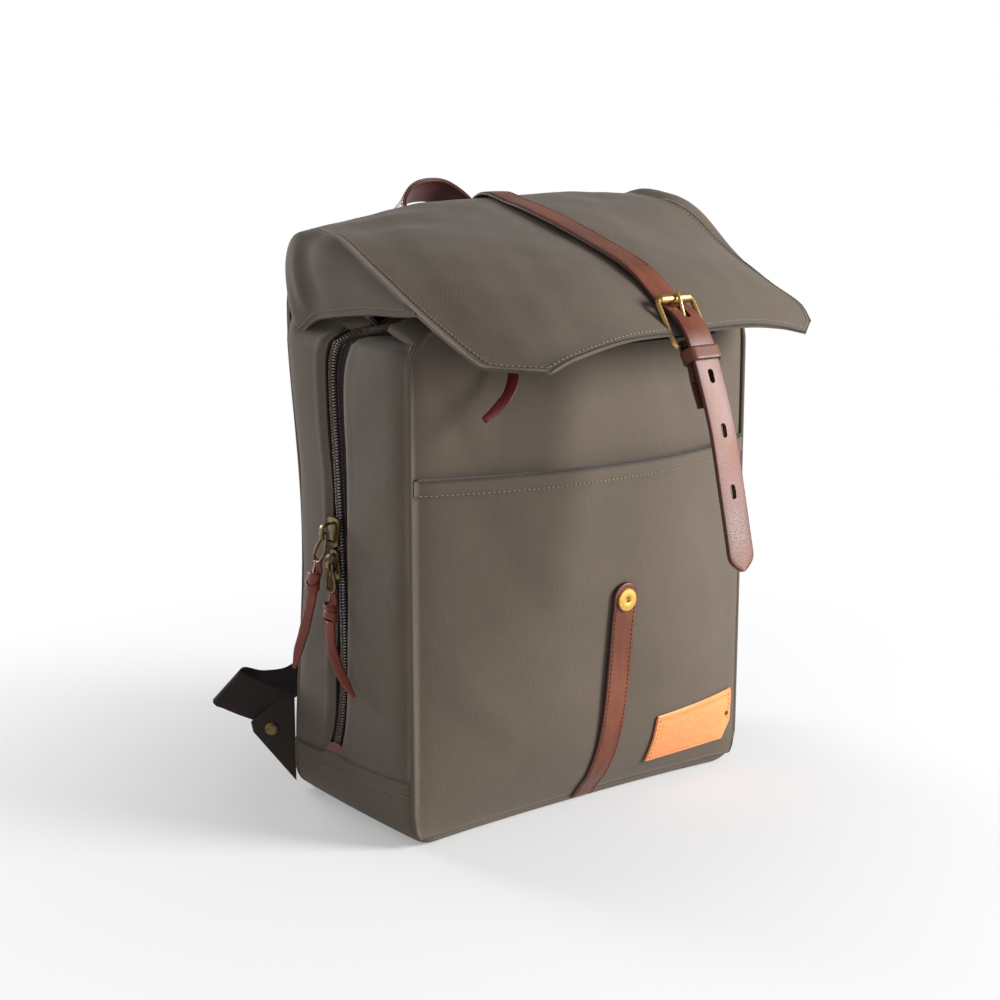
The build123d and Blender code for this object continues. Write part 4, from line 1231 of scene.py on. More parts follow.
RIGHT_WING = [
    [(134, 66, 404), (147, 68, 406), (157, 69, 398), (163, 69, 384), (165, 68, 364)],
    [(134, 52, 423), (148, 49, 426), (161, 47, 420), (168, 47, 402), (169, 49, 368)],
    [(143, 28, 420.5), (156, 29, 425), (168, 28, 420), (174, 27, 405), (173, 28, 372)],
    [(151, 2, 416), (165, 3, 415.5), (175, 0, 407), (178, 0, 393), (176, 0, 372)],
    [(161, -38, 386.5), (166, -38, 386), (169.5, -38, 383), (170.5, -38, 378), (169, -38, 370)],
    [(160, -64, 375), (163, -64, 373), (165, -64, 370), (164.5, -64, 366.5), (163, -64, 363)],
    [(157, -88, 365), (157.5, -88.5, 364), (158, -89, 363), (158, -90, 361.5), (157, -91, 360)],
]


def hood_grid():
    """The hood's top: smooth, but its four front corners stay cut sharp."""
    across, down = 85, 96
    wide = np.array([smooth_line(row, across) for row in HOOD_ROWS])
    columns = []
    for j in range(across):
        if j in (0, across - 1):
            line = np.vstack([smooth_line(wide[:-1, j], 300), resample(wide[-2:, j], 30)[1:]])
            columns.append(resample(line, down))
        else:
            columns.append(smooth_line(wide[:, j], down))
    grid = np.stack(columns, axis=1)
    normal = grid_normals(grid)
    soft = 1.0 * ripple(grid, 31, 110.0) + 0.35 * ripple(grid, 32, 38.0)
    soft += crease(grid, (-128, 40, 404), (-60, 30, 412), 9, 2.0)
    soft += crease(grid, (-132, 20, 400), (-70, 8, 408), 10, -1.6)
    soft += crease(grid, (60, 40, 420), (130, 10, 415), 12, -1.6)
    soft += crease(grid, (90, -100, 372), (140, -60, 380), 14, -1.5)
    soft += crease(grid, (-120, -110, 360), (-60, -140, 362), 13, 1.3)
    rows = np.linspace(0, 1, down)[:, None]
    columns = np.linspace(0, 1, across)[None, :]
    hold = np.clip(np.minimum(np.minimum(rows, 1 - rows) * 10, np.minimum(columns, 1 - columns) * 12), 0, 1)
    strap_bed = np.clip((np.abs(grid[..., 0]) - 14) / 10, 0, 1)
    return grid + normal * (soft * hold * (0.3 + 0.7 * strap_bed))[..., None]


def make_hood():
    grid = hood_grid()
    hood = cloth("hood_cloth", grid, CANVAS, HOOD_CLOTH)
    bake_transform(hood)
    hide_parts("flap_top", "hood_rear")
    front = grid[22:]
    rows = [
        edge_row(front, "bottom", 5.0, trim=4), edge_row(front, "left", 5.0, trim=6),
        edge_row(front, "right", 5.0, trim=6),
    ]
    wear(stitches("hood_stitches", rows, THREAD), "flap", "canvas")
    for name, table, flip, node, out in (
        ("wing_left_cloth", LEFT_WING, True, "flap_wing_left", (-1, 0, 0)),
        ("wing_right_cloth", RIGHT_WING, False, "flap_wing_right", (1, 0, 0)),
    ):
        wing = smooth_grid(table, 26, 60)
        normal = grid_normals(wing) * (-1 if flip else 1)
        if (normal[30, 12] @ np.array(out)) < 0:
            normal, flip = -normal, not flip
        shape = 0.5 * ripple(wing, 41, 60.0)
        side = -1 if out[0] < 0 else 1
        shape += crease(wing, (side * 156, 52, 396), (side * 157, 40, 350), 6, 2.2)
        shape += crease(wing, (side * 156, 40, 398), (side * 157, 22, 360), 7, -1.2)
        share = np.linspace(0, 1, wing.shape[1])[None, :]
        hold = np.clip(np.minimum(share, 1 - share) * 8, 0, 1)
        wing = wing + normal * (shape * hold)[..., None]
        wear(cloth(name, wing, CANVAS, HOOD_CLOTH, flip=flip), "flap", "canvas", node)
        row = edge_row(wing, "right", 5.0, flip=flip, trim=8)
        wear(stitches(name.replace("cloth", "stitches"), [row], THREAD), "flap", "canvas")


make_hood()


# ---- closing strap and buckle ---------------------------------------------------------------
STRAP_WIDTH = 22.0
STRAP_X = ROLLER[0]
STRAP_THICK = 3.0
LEAN = math.atan2(ROLLER[2] - BAR[2], ROLLER[1] - BAR[1])
REACH = math.hypot(ROLLER[1] - BAR[1], ROLLER[2] - BAR[2])


def off_bar(along, out, x=0.0):  # x is measured from the strap's middle
    """A point measured along the buckle from its bar, and out from its plane."""
    return (
        STRAP_X + x,
        BAR[1] + along * math.cos(LEAN) - out * math.sin(LEAN),
        BAR[2] + along * math.sin(LEAN) + out * math.cos(LEAN),
    )


UNDER_ROLLER = off_bar(REACH, -5.7)
OVER_BAR = off_bar(0, 6.8)
BILLET = [
    (STRAP_X + 8, 74, 406), (STRAP_X + 8, 66, 418), (STRAP_X + 8, 56, 425.2), (STRAP_X + 8, 44, 426.6),
    (STRAP_X + 7, 20, 421.5), (STRAP_X + 6, 0, 417.8), (STRAP_X + 4, -40, 408.1), (STRAP_X + 2, -90, 393.4),
    (
        STRAP_X + 0.8, -122, 381.5,
    ), UNDER_ROLLER, off_bar(0.72 * REACH, 1.2), off_bar(0.42 * REACH, 5.4), OVER_BAR,
    (STRAP_X + 1, -187, 319), (STRAP_X + 2, -198, 287), (STRAP_X + 2, -208, 248), (STRAP_X + 2, -220, 198),
]
SLOT_Z = (319, 286, 248)


def strap_rows(line, inset, first, last):
    """Two rows of (points, normals) along a strap across X, between two shares of its length."""
    part = line[int(first * (len(line) - 1)): int(last * (len(line) - 1)) + 1]
    _, side, normal = frames(part, (1, 0, 0))
    return [
        (part + side * s * (STRAP_WIDTH / 2 - inset) + normal * STRAP_THICK / 2, normal) for s in (-1, 1)
    ]


def make_billet():
    line = smooth_line(BILLET, 220)
    along = length_along(line)
    left = along[-1] - along
    width = STRAP_WIDTH - 2 * np.clip(11 - left, 0, 11) ** 2.1 / 11**2.1 * 9.5
    _, _, normal = frames(line, (1, 0, 0))
    if normal[100][2] < 0:
        raise ValueError("the strap faces down")
    billet = strap("billet_leather", line, (1, 0, 0), width, STRAP_THICK, LEATHER, EDGE, crown=0.25)
    cutters = []
    for z in SLOT_Z:
        i = int(np.argmin(np.abs(line[:, 2] - z) + 400 * (line[:, 1] > -175)))
        up = unit(line[i - 3] - line[i + 3])
        out = unit(np.cross((1, 0, 0), up))
        place = line[i] - out * 6
        cutters.append(solid("slot", slot_outline(9.5, 4.6), place, (1, 0, 0), up, 12, EDGE, bevel=0))
    i = int(np.argmin(np.linalg.norm(line - np.array(off_bar(REACH * 0.66, 2.0)), axis=1)))
    up = unit(line[i - 3] - line[i + 3])
    out = unit(np.cross((1, 0, 0), up))
    cutters.append(solid("slot", slot_outline(13, 5.0), line[i] - out * 6, (1, 0, 0), up, 12, EDGE, bevel=0))
    cut(billet, cutters)
    billet.data.set_sharp_from_angle(angle=math.radians(45))
    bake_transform(billet)
    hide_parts("billet_strap")
    rows = strap_rows(line, 2.6, 0.10, 0.475)
    wear(stitches("billet_stitches", rows, THREAD_BROWN, 3.2, 2.3, 0.36), "flap", "brown_leather")
    return line


CHAPE = [off_bar(-2.4, -1.4), off_bar(-12, -1.5), off_bar(-26, -5.0), off_bar(-40.8, -7.3)]


def make_chape():
    """The short strap that holds the buckle: round its bar, then down behind the closing strap."""
    run = smooth_line(CHAPE, 70)
    facing = smooth_line([off_bar(-2.4, 2.6), off_bar(-10, 1.2), off_bar(-24, -2.4)], 40)
    turn = np.linspace(0.72, -0.86, 18) * math.pi
    wrap = np.array([off_bar(2.9 * math.cos(t), 2.9 * math.sin(t)) for t in turn])
    pieces = [
        strap("chape_leather", run, (1, 0, 0), 20.6, 2.2, LEATHER, EDGE),
        strap("chape_facing", facing, (1, 0, 0), 20.6, 1.8, LEATHER, EDGE),
    ]
    for side in (-1, 1):
        pieces.append(strap(
            "chape_eye", wrap + np.array([side * 6.9, 0, 0]), (1, 0, 0), 7.0, 1.9, LEATHER, EDGE,
        ))
    wear(joined("chape_leather", pieces), "flap", "brown_leather", "chape")
    _, side, normal = frames(facing, (1, 0, 0))
    rows = [(facing + side * s * 8.4 + normal * 0.95, normal) for s in (-1, 1)]
    wear(stitches("chape_stitches", rows, THREAD_BROWN, 3.2, 2.2, 0.34), "flap", "brown_leather")


def make_keeper():
    """A leather loop round both layers."""
    centre = np.array(off_bar(-8.8, 2.9))
    up = np.array([0, -math.sin(LEAN + 0.05), math.cos(LEAN + 0.05)])
    ring = [centre + np.array([a, 0, 0]) + up * b for a, b in rounded(26.2, 11.6, 4.6, 6)]
    ring = np.array(ring + ring[:1])
    loop = resample(ring, 90)
    along = np.array([0, math.cos(LEAN + 0.05), math.sin(LEAN + 0.05)])
    wear(
        strap("keeper_leather", loop, along, 9.6, 1.9, LEATHER, EDGE), "flap", "brown_leather",
        "strap_keeper",
    )


def make_buckle():
    half = 15.2
    corners = [off_bar(0, 0, -half), off_bar(0, 0, half), off_bar(REACH, 0, half), off_bar(REACH, 0, -half)]
    loop = []
    for i, here in enumerate(corners):
        before, after = np.array(corners[i - 1]), np.array(corners[(i + 1) % 4])
        here = np.array(here)
        start, end = here + unit(before - here) * 3.2, here + unit(after - here) * 3.2
        loop += [start, here * 0.5 + (start + end) * 0.25, end]
    frame_line = resample(np.array(loop + loop[:1]), 120)[:-1]
    bar = tube("buckle_frame_brass", frame_line, 1.75, BRASS, 14, closed=True, up=(0, 0.3, 1))
    wear(bar, "flap", "antique_brass", "buckle_frame")
    ends = np.linspace(-12.8, 12.8, 33)
    radius = 3.3 - 0.5 * (np.abs(ends) > 12.3) - 0.25 * (np.abs(np.abs(ends) - 11.2) < 0.6)
    roller = tube(
        "buckle_roller_brass", [off_bar(REACH, 0, x) for x in ends], radius, BRASS, 20, up=(0, 0, 1),
    )
    wear(roller, "roller", "antique_brass", "buckle_roller")
    tip = REACH + 3.0
    prong_line = smooth_line(
        [off_bar(3.0, 1.4), off_bar(REACH * 0.45, 1.9), off_bar(REACH * 0.68, 2.9),
         off_bar(REACH * 0.88, 4.6),
         off_bar(REACH + 0.5, 5.1), off_bar(tip, 4.5)], 40
    )
    taper = np.linspace(1.65, 1.2, 40)
    prong = tube("prong_wire", prong_line, taper, BRASS, 12)
    turn = np.linspace(0, 2 * math.pi, 25)[:-1]
    eye = tube(
        "prong_eye", [off_bar(3.0 * math.cos(t), 3.0 * math.sin(t)) for t in turn], 1.3, BRASS, 10,
        closed=True, up=(1, 0, 0),
    )
    wear(joined("buckle_prong_brass", [prong, eye]), "prong", "antique_brass", "buckle_prong")


def turned(name, profile, place, axis, look):
    """A round piece turned from a profile of (radius, height) points about an axis."""
    axis = unit(np.array(axis, float))
    side = unit(np.cross(axis, (0, 0, 1) if abs(axis[2]) < 0.9 else (1, 0, 0)))
    other = np.cross(axis, side)
    turns = 36
    angle = np.linspace(0, 2 * math.pi, turns, endpoint=False)
    points, faces = [], []
    for radius, height in profile:
        for t in angle:
            way = side * math.cos(t) + other * math.sin(t)
            points.append(np.array(place) + axis * height + way * max(radius, 0.01))
    for ring in range(len(profile) - 1):
        for k in range(turns):
            a, b = ring * turns + k, ring * turns + (k + 1) % turns
            faces.append((a, b, b + turns, a + turns))
    faces.append(tuple(range(turns - 1, -1, -1)))
    last = (len(profile) - 1) * turns
    faces.append(tuple(last + k for k in range(turns)))
    made = link(name, points, faces, look, [(0, 0)] * len(points))
    made.data.set_sharp_from_angle(angle=math.radians(35))
    return made


def make_snap():
    """The cap riveted behind the chape, whose mate is the ring stud on the pocket."""
    cap = [(0.01, 0), (6.4, 0), (7.0, 0.5), (7.0, 1.0), (6.0, 1.8), (3.5, 2.5), (0.01, 2.8)]
    away = (0, math.sin(LEAN + 0.2), -math.cos(LEAN + 0.2))
    wear(
        turned("snap_cap_brass", cap, off_bar(-33, -7.8), away, BRASS_DARK), "flap", "antique_brass",
        "snap_cap",
    )


make_billet()
make_chape()
make_keeper()
make_buckle()
make_snap()


# ---- trim on the pocket ---------------------------------------------------------------------
STRIP_WIDTH = cad("leather_strip")[1][0] * 2
STUD = np.array([0, 0, (cad("ring_stud")[0][2] + cad("ring_stud")[1][2]) / 2])


def make_strip():
    heights = np.linspace(12, 170, 60)
    line = [(0, pocket_y(0, 2) + 5.5, 1.5), (0, pocket_y(0, 5) - 0.2, 4.2)]
    line = smooth_line(line + [(0, pocket_y(0, z) - 1.5, z) for z in heights], 120)
    left = length_along(line)[-1] - length_along(line)
    near = np.clip(10.5 - left, 0, 10.5)
    width = 2 * np.sqrt(np.maximum((STRIP_WIDTH / 2) ** 2 - near**2 * 0.96, 1.0))
    wear(
        strap("strip_leather", line, (-1, 0, 0), width, 2.2, LEATHER, EDGE, crown=0.2), "pack",
        "brown_leather", "leather_strip",
    )
    _, side, normal = frames(line, (-1, 0, 0))
    rows = [(line[3:112] + side[3:112] * s * 8.0 + normal[3:112] * 1.2, normal[3:112]) for s in (-1, 1)]
    wear(stitches("strip_stitches", rows, THREAD_BROWN, 3.2, 2.3, 0.36), "pack", "brown_leather")
    stud = [(1.4, 0.0), (7.6, 0.0), (8.0, 0.4), (8.0, 1.5), (7.4, 2.1), (5.0, 2.3), (2.7, 2.4), (2.2, 2.2),
            (1.7, 1.5),
            (1.45, 0.4)]
    place = (0, pocket_y(0, STUD[2]) - 2.5, STUD[2])
    wear(turned("stud_ring_brass", stud, place, (0, -1, 0), BRASS_RING), "pack", "antique_brass", "ring_stud")


LABEL_CORNERS = np.array([
    [(47.3, 22.2), (134.2, 22.6)], [(45.5, 59.8), (132.6, 61.1)],
])  # X, Z: low row, high row
LABEL_HOLE = (128.3, 42.6)


def on_pocket(a, b, out):
    """A point on the label: a from 0 to 1 along it and b from 0 to 1 up it, laid on the pocket."""
    a, b = np.broadcast_arrays(np.asarray(a, float), np.asarray(b, float))
    low = LABEL_CORNERS[0, 0] + (LABEL_CORNERS[0, 1] - LABEL_CORNERS[0, 0]) * a[..., None]
    high = LABEL_CORNERS[1, 0] + (LABEL_CORNERS[1, 1] - LABEL_CORNERS[1, 0]) * a[..., None]
    spot = low + (high - low) * b[..., None]
    x, z = spot[..., 0], spot[..., 1]
    return np.stack([x, pocket_y(x + settle(x), z) - out, z], axis=-1)


def make_label():
    """A blank leather label with a pressed border, a punched hole and one cut corner."""
    a, b = np.meshgrid(np.linspace(0, 1, 72), np.linspace(0, 1, 34))
    round_off = np.clip(np.abs(b - 0.5) * 2 - 0.9, 0, 0.1) / 0.1
    grid = on_pocket(0.5 + (a - 0.5) * (1 - 0.012 * round_off**2), b, 2.7)
    border = np.abs(np.maximum(np.abs(a - 0.5) * 87 - 38.5, np.abs(b - 0.5) * 38 - 13.6))
    grid[..., 1] += 0.4 * np.exp(-((border / 0.75) ** 2))
    plate = cloth("label_leather", grid, NATURAL, 1.9, flip=True)
    behind = pocket_y(*LABEL_HOLE) + 5.8
    hole = solid("hole", circle(2.3, 24), (LABEL_HOLE[0] - 0.9, behind, LABEL_HOLE[1] + 1.45),
                 (1, 0.16, 0), (0, -0.25, 1), 12.0, NATURAL, bevel=0)
    corner = solid("corner", [(0, 0), (14, 0), (14, 26)], (124.5, pocket_y(128, 24) + 12.0, 19.4),
                   (1, 0, 0), (0, 0, 1), 24.0, NATURAL, bevel=0)
    cut(plate, [hole, corner])
    plate.data.set_sharp_from_angle(angle=math.radians(50))
    wear(plate, "pack", "natural_leather", "leather_label")
    rows = []
    for along, up in (
        (np.linspace(0.035, 0.965, 60), 0.925), (np.linspace(0.035, 0.87, 54), 0.075),
        (0.03, np.linspace(0.1, 0.9, 24)), (0.97, np.linspace(0.42, 0.9, 16)),
    ):
        line = on_pocket(along, up, 2.72)
        rows.append((line, np.tile((0.25, -0.95, -0.15), (len(line), 1))))
    wear(stitches("label_stitches", rows, THREAD_TAN, 3.0, 1.7, 0.36), "pack", "natural_leather")


make_strip()
make_label()


# ---- main zip's sliders, pulls and knots ----------------------------------------------------
def make_slider(name, pin, nose, body, node):
    """A slider seen from outside: waisted body with side rails, a crown plate and its bridge."""
    x, y, z = pin
    inner = -(cad("main_zip_coil")[1][0] + 0.5)
    outline = [
        (-7.4, 9), (-5, 10.3), (0, 10.8), (5, 10.3), (7.4, 9), (6.9, 3), (4.9, -3), (4.4, -9), (2, -10),
        (-2, -10), (-4.4, -9), (-4.9, -3), (-6.9, 3),
    ]
    outline = [(a, b * nose) for a, b in outline]
    pieces = [solid(name, outline, (inner, y, z), (0, -1, 0), (0, 0, 1), 2.4, BRASS_DARK, 0.7)]
    crown = [(a * 0.62, b * 0.7) for a, b in outline]
    pieces.append(solid(name, crown, (inner - 2.2, y, z), (0, -1, 0), (0, 0, 1), 1.2, BRASS_DARK, 0.5))
    lift = abs(x - inner)
    bridge = [(inner - 2, y, z + 7.5), (inner - lift - 0.6, y, z + 6.0), (inner - lift - 2.4, y, z + 1.5),
              (inner - lift - 2.2, y, z - 2.5), (inner - 2, y, z - 6.5)]
    line = smooth_line(bridge, 30)
    pieces.append(strap(name, line, (0, 1, 0), 4.2, 1.7, BRASS_DARK))
    wear(joined(name, pieces), body, "antique_brass", node)


def make_pull(name, pin, drop, reach, body, node):
    """A cast link that hangs from the bridge: narrow at its pin, wide where the lace goes through."""
    x, y, z = pin
    side = [(1.9, 0.6), (2.6, -3), (4.4, -8), (5.6, -13), (5.2, -drop + 2.5), (3.0, -drop)]
    ring = [(a, b) for a, b in side] + [(-a, b) for a, b in reversed(side)]
    points = [(x, y + a + reach * np.clip(-b / drop, 0, 1) ** 1.2, z + b) for a, b in ring]
    loop = smooth_line(points + points[:1], 80)[:-1]
    wear(tube(name, loop, 1.15, BRASS_DARK, 10, closed=True, up=(1, 0, 0)), body, "antique_brass", node)


def make_knot(name, centre, top, tilt, body, node):
    """A thong drawn through the link and tied: a collar round the hanging end, and the loop above."""
    centre, top = np.array(centre, float), np.array(top, float)
    axis = unit(top - centre)
    side = unit(np.cross(axis, (1, 0, 0)))
    out = np.cross(side, axis)
    pieces = []
    for k, (shift, lean, radius, wide) in enumerate((
        (-3.5, tilt, 4.1, 5.4), (2.6, -tilt, 3.8, 5.6), (0, 0.1, 2.6, 9.5),
    )):
        turn = np.linspace(0, 2 * math.pi, 41)
        loop = np.array([
            centre + axis * (shift + lean * 4 * math.sin(t + k))
            + (side * math.cos(t) * 1.25 + out * math.sin(t) * 0.8) * radius
            for t in turn
        ])
        tube_axis = axis + side * lean * 0.3
        pieces.append(strap(name, loop, tube_axis, wide, 2.0, THONG, corner=0.7))
    for spread in (-1, 1):
        rise = smooth_line(
            [centre + side * spread * 1.2 + axis * 3, centre + side * spread * 3.0 + axis * 6.5 + out * 1.6,
             top + side * spread * 1.6 + out * 1.2, top + axis * 2.2 + side * spread * 0.6 - out * 0.3], 24
        )
        pieces.append(strap(name, rise, side + out * 0.4 * spread, 4.6, 1.9, THONG, corner=0.7))
    wear(joined(name, pieces), body, "brown_leather", node)


def make_zip_ends():
    for side, name in ((-1, "left"), (1, "right")):
        outline = [
            (-15, -5.5), (-9, -7), (9, -7), (15, -5.5), (12.5, 1.5), (7, 6.2), (0, 7.4), (-7, 6.2),
            (-12.5, 1.5),
        ]
        lean = -0.10
        place = (side * (HALF_WIDTH + 0.9), 20.0, 43.5)
        tab = solid(
            "zip_end_" + name, outline, place, (0, side, lean * side), (side * -0.04, lean, 1), 2.4,
            LEATHER, 0.7,
        )
        wear(tab, "pack", "brown_leather", "zip_end_tab_" + name)


make_slider("slider_upper_brass", UPPER_PIN, 1, "slider_upper", "zip_slider_upper")
make_slider("slider_lower_brass", LOWER_PIN, -1, "slider_lower", "zip_slider_lower")
make_pull("pull_upper_brass", UPPER_PIN, 21.0, 11.0, "pull_upper", "zip_pull_upper")
make_pull("pull_lower_brass", LOWER_PIN, 19.0, 0.0, "pull_lower", "zip_pull_lower")
make_knot(
    "knot_upper_thong", (UPPER_PIN[0] - 0.4, 29.0, 167.5), (UPPER_PIN[0], 25.4, 181.0), 0.5,
    "pull_upper", "lace_knot_upper",
)
make_knot(
    "knot_lower_thong", (LOWER_PIN[0] - 2.4, 11.4, 148.5), (LOWER_PIN[0] - 0.6, 13.6, 161.0), -0.5,
    "pull_lower", "lace_knot_lower",
)
make_zip_ends()


def front_panel_y(x, z):
    return SEAM_FRONT - 2.5 - bulge(PANEL_BULGE, z) * arch(x)


def make_front_zip():
    """The small zip under the hood: tape, teeth, slider."""
    low, high = cad("front_zip_tape")
    middle = (low[2] + high[2]) / 2
    x = np.linspace(low[0], high[0], 90)
    tape = np.array([
        np.column_stack([x, front_panel_y(x, z) - 1.2, np.full_like(x, z)])
        for z in np.linspace(middle - 7, middle + 7, 6)
    ])
    wear(cloth("front_zip_woven", tape, TAPE, 0.8, flip=True), "pack", "zip_tape", "front_zip_tape")
    rows = []
    for z in (middle - 1.4, middle + 1.4):
        line = np.column_stack([x, front_panel_y(x, z) - 1.6, np.full_like(x, z)])
        rows.append((line, np.tile((0.0, -1.0, 0.1), (len(x), 1))))
    wear(stitches("front_zip_coil", rows, COIL, 1.9, 1.7, 1.0), "pack", "zip_coil")
    low, high = cad("front_zip_slider")
    centre = (low + high) / 2
    outline = [(-7, -3.6), (-2, -4.4), (5, -3.0), (7, 0), (5, 3.0), (-2, 4.4), (-7, 3.6)]
    body = solid(
        "front_slider_brass", outline, (centre[0], high[1], centre[2]), (1, 0, 0), (0, 0, 1), 2.6,
        BRASS_DARK, 0.7,
    )
    arch_line = smooth_line(
        [
            (centre[0] - 4, high[1] - 2, centre[2]), (centre[0], low[1] - 0.6, centre[2]),
            (centre[0] + 4, high[1] - 2, centre[2]),
        ],
        16,
    )
    bow = strap("front_slider_bow", arch_line, (0, 0, 1), 3.4, 1.6, BRASS_DARK)
    wear(joined("front_slider_brass", [body, bow]), "front_slider", "antique_brass", "front_zip_slider")


make_front_zip()


# ---- back, handle, shoulder straps ----------------------------------------------------------
def make_back():
    """The back panel and the lining inside."""
    low, high = cad("back_panel")
    rows = []
    for z in np.linspace(low[2] + 1, high[2] - 1, 60):
        over = np.clip(z - (high[2] - BACK_CORNER), 0, BACK_CORNER - 0.5)
        under = np.clip(BASE_CORNER - z, 0, BASE_CORNER - 0.5)
        half = HALF_WIDTH - BACK_CORNER + math.sqrt(BACK_CORNER**2 - over**2)
        half = half - BASE_CORNER + math.sqrt(BASE_CORNER**2 - under**2)
        x = np.linspace(-half, half, 50)
        pinch = 8.5 * math.sin(math.pi * min(max((z - 40) / 300, 0), 1)) ** 1.5
        x = x * (half - pinch) / half
        rows.append(np.column_stack([x, np.full_like(x, high[1] - 0.6), np.full_like(x, z)]))
    wear(cloth("back_panel_cloth", np.array(rows), CANVAS, 3.0), "pack", "canvas", "back_panel")
    low, high = cad("laptop_divider")
    x = np.linspace(low[0], high[0], 30)
    rows = [np.column_stack([
        x * (1 - 0.02 * s), np.full_like(x, low[1] + 1.5) + 1.5 * np.sin(x / 40), np.full_like(x, z),
    ])
            for s, z in zip(np.linspace(0, 1, 30), np.linspace(low[2], high[2], 30))]
    wear(
        cloth("laptop_divider_cloth", np.array(rows), LINING, 4.0), "pack", "padded_canvas",
        "laptop_divider",
    )


def cushion(low, high, corner, channels):
    """A foam pad on the back: crowned, drawn in at its sewn channels, its rim turned under."""
    half_x, half_z = (high[0] - low[0]) / 2, (high[2] - low[2]) / 2
    centre = (low + high) / 2
    a = np.sin(np.linspace(-1, 1, 64) * math.pi / 2)
    b = np.sin(np.linspace(-1, 1, 80) * math.pi / 2)
    rows = []
    for v in b:
        near = max(abs(v) * half_z - (half_z - corner), 0)
        half = half_x - corner + math.sqrt(max(corner**2 - near**2, 0))
        x = a * half
        z = np.full_like(x, v * half_z)
        edge = np.minimum(half - np.abs(x), half_z - abs(v * half_z))
        full = (high[1] - low[1]) * (1 - np.exp(-(np.maximum(edge, 0) / 7.0)))
        for kind, at in channels:
            away = np.abs((x if kind == "x" else z) - at)
            full = full - 5.0 * np.exp(-((away / 4.5) ** 2)) * (full > 6)
        rows.append(np.column_stack([centre[0] + x, low[1] + 0.6 + full, centre[2] + z]))
    grid = np.array(rows)
    grid[..., 1] += 0.5 * ripple(grid, 61, 70.0) * (grid[..., 1] > low[1] + 6)
    return grid


def make_back_pad():
    low, high = cad("back_pad")
    channels = [("x", 0.0), ("z", 96.0), ("z", 8.0), ("z", -80.0)]
    grid = cushion(low, high, 34.0, channels)
    pad = cloth("back_pad_cloth", grid, PADDED, 1.6)
    if grid_normals(grid)[30, 30][1] < 0:
        raise ValueError("the pad faces inwards")
    wear(pad, "pack", "padded_canvas", "back_pad")
    centre = (low + high) / 2
    rows = []
    for kind, at in channels:
        if kind == "z":
            x = np.linspace(low[0] + 10, high[0] - 10, 120)
            z = np.full_like(x, centre[2] + at)
        else:
            z = np.linspace(low[2] + 10, high[2] - 10, 150)
            x = np.full_like(z, centre[0] + at)
        y = np.full_like(x, high[1] - 4.3)
        rows.append((np.column_stack([x, y, z]), np.tile((0, 1.0, 0), (len(x), 1))))
    wear(stitches("back_pad_stitches", rows, THREAD), "pack", "padded_canvas")


def make_handle():
    low, high = cad("handle")
    middle, foot = (low[1] + high[1]) / 2 - 1, low[2]
    arch_points = [(-36, 0, -5), (-37, 2, 6), (-35, 9, 18), (-21, 18, 28.5), (-5, 21, 32), (11, 19.5, 30),
                   (24, 11, 19),
                   (28, 3, 6), (27, 0, -5)]
    line = smooth_line([(x, middle + back, foot + up) for x, back, up in arch_points], 110)
    lean = np.radians(42) * np.clip((line[:, 2] - foot) / 16, 0, 1)
    across = np.stack([0 * lean, -np.cos(lean), np.sin(lean)], axis=1)
    _, side, normal = frames(line, across)
    outer = strap("handle_outer", line - normal * 0.8, across, 25.0, 1.7, LEATHER, EDGE)
    inner = strap("handle_inner", line + normal * 0.8, across, 24.6, 1.5, MAROON, EDGE)
    wear(joined("handle_leather", [outer, inner]), "handle", "brown_leather", "handle")
    rows = [(line + side * s * 10.0 - normal * 1.7, -normal) for s in (-1, 1)]
    wear(stitches("handle_stitches", rows, THREAD_BROWN, 3.2, 2.3, 0.36), "handle", "brown_leather")
    low, high = cad("handle_patch")
    centre = (low + high) / 2
    plate = solid(
        "handle_patch_leather", rounded(92, 28, 6), (centre[0], 96, high[2] - 3.4), (1, 0, 0),
        (0, 1, 0), 3.2, LEATHER, 0.8,
    )
    block = solid(
        "handle_patch_base", rounded(88, 24, 5), (centre[0], 96, low[2] + 14), (1, 0, 0), (0, 1, 0),
        high[2] - low[2] - 18, PADDED, 1.5,
    )
    wear(joined("handle_patch_leather", [plate, block]), "pack", "brown_leather", "handle_patch")
    low, high = cad("strap_yoke")
    yoke = solid(
        "yoke_leather", rounded(high[0] - low[0], high[2] - low[2], 6),
        (0, low[1] + 0.2, (low[2] + high[2]) / 2), (-1, 0, 0), (0, 0, 1), high[1] - low[1], LEATHER,
        0.8,
    )
    wear(yoke, "pack", "brown_leather", "strap_yoke")
    loop = np.array([
        (a, high[1] + 0.25, (low[2] + high[2]) / 2 + b)
        for a, b in rounded(high[0] - low[0] - 7, high[2] - low[2] - 7, 4)
    ])
    loop = resample(np.vstack([loop, loop[:1]]), 160)
    wear(
        stitches("yoke_stitches", [(loop, np.tile((0, 1.0, 0), (160, 1)))], THREAD_BROWN, 3.2, 2.3, 0.36),
        "pack", "brown_leather",
    )


STRAP_LINE = [(99.5, 372), (110, 345), (118, 290), (116, 225), (107, 170)]
# (place, direction across the webbing), out of the lower tab, folded back and up to the lock
WEB_STATIONS = [
    ((156, 88.5, 58), (-0.305, -0.61, 0.73)), ((174, 92, 67), (-0.305, -0.61, 0.73)),
    ((188, 95, 75), (-0.305, -0.61, 0.73)), ((193.5, 98.5, 79), (-0.305, -0.61, 0.73)),
    ((188, 102.5, 80), (-0.305, -0.61, 0.73)), ((170, 106, 73), (-0.25, -0.6, 0.76)),
    ((140, 112, 67), (-0.05, -0.45, 0.89)), ((112, 118, 74), (0.35, -0.3, 0.88)),
    ((85, 117, 98), (0.72, -0.1, 0.69)), ((64, 109, 130), (0.93, 0, 0.35)), ((57, 105.5, 144), (1, 0, 0.1)),
]


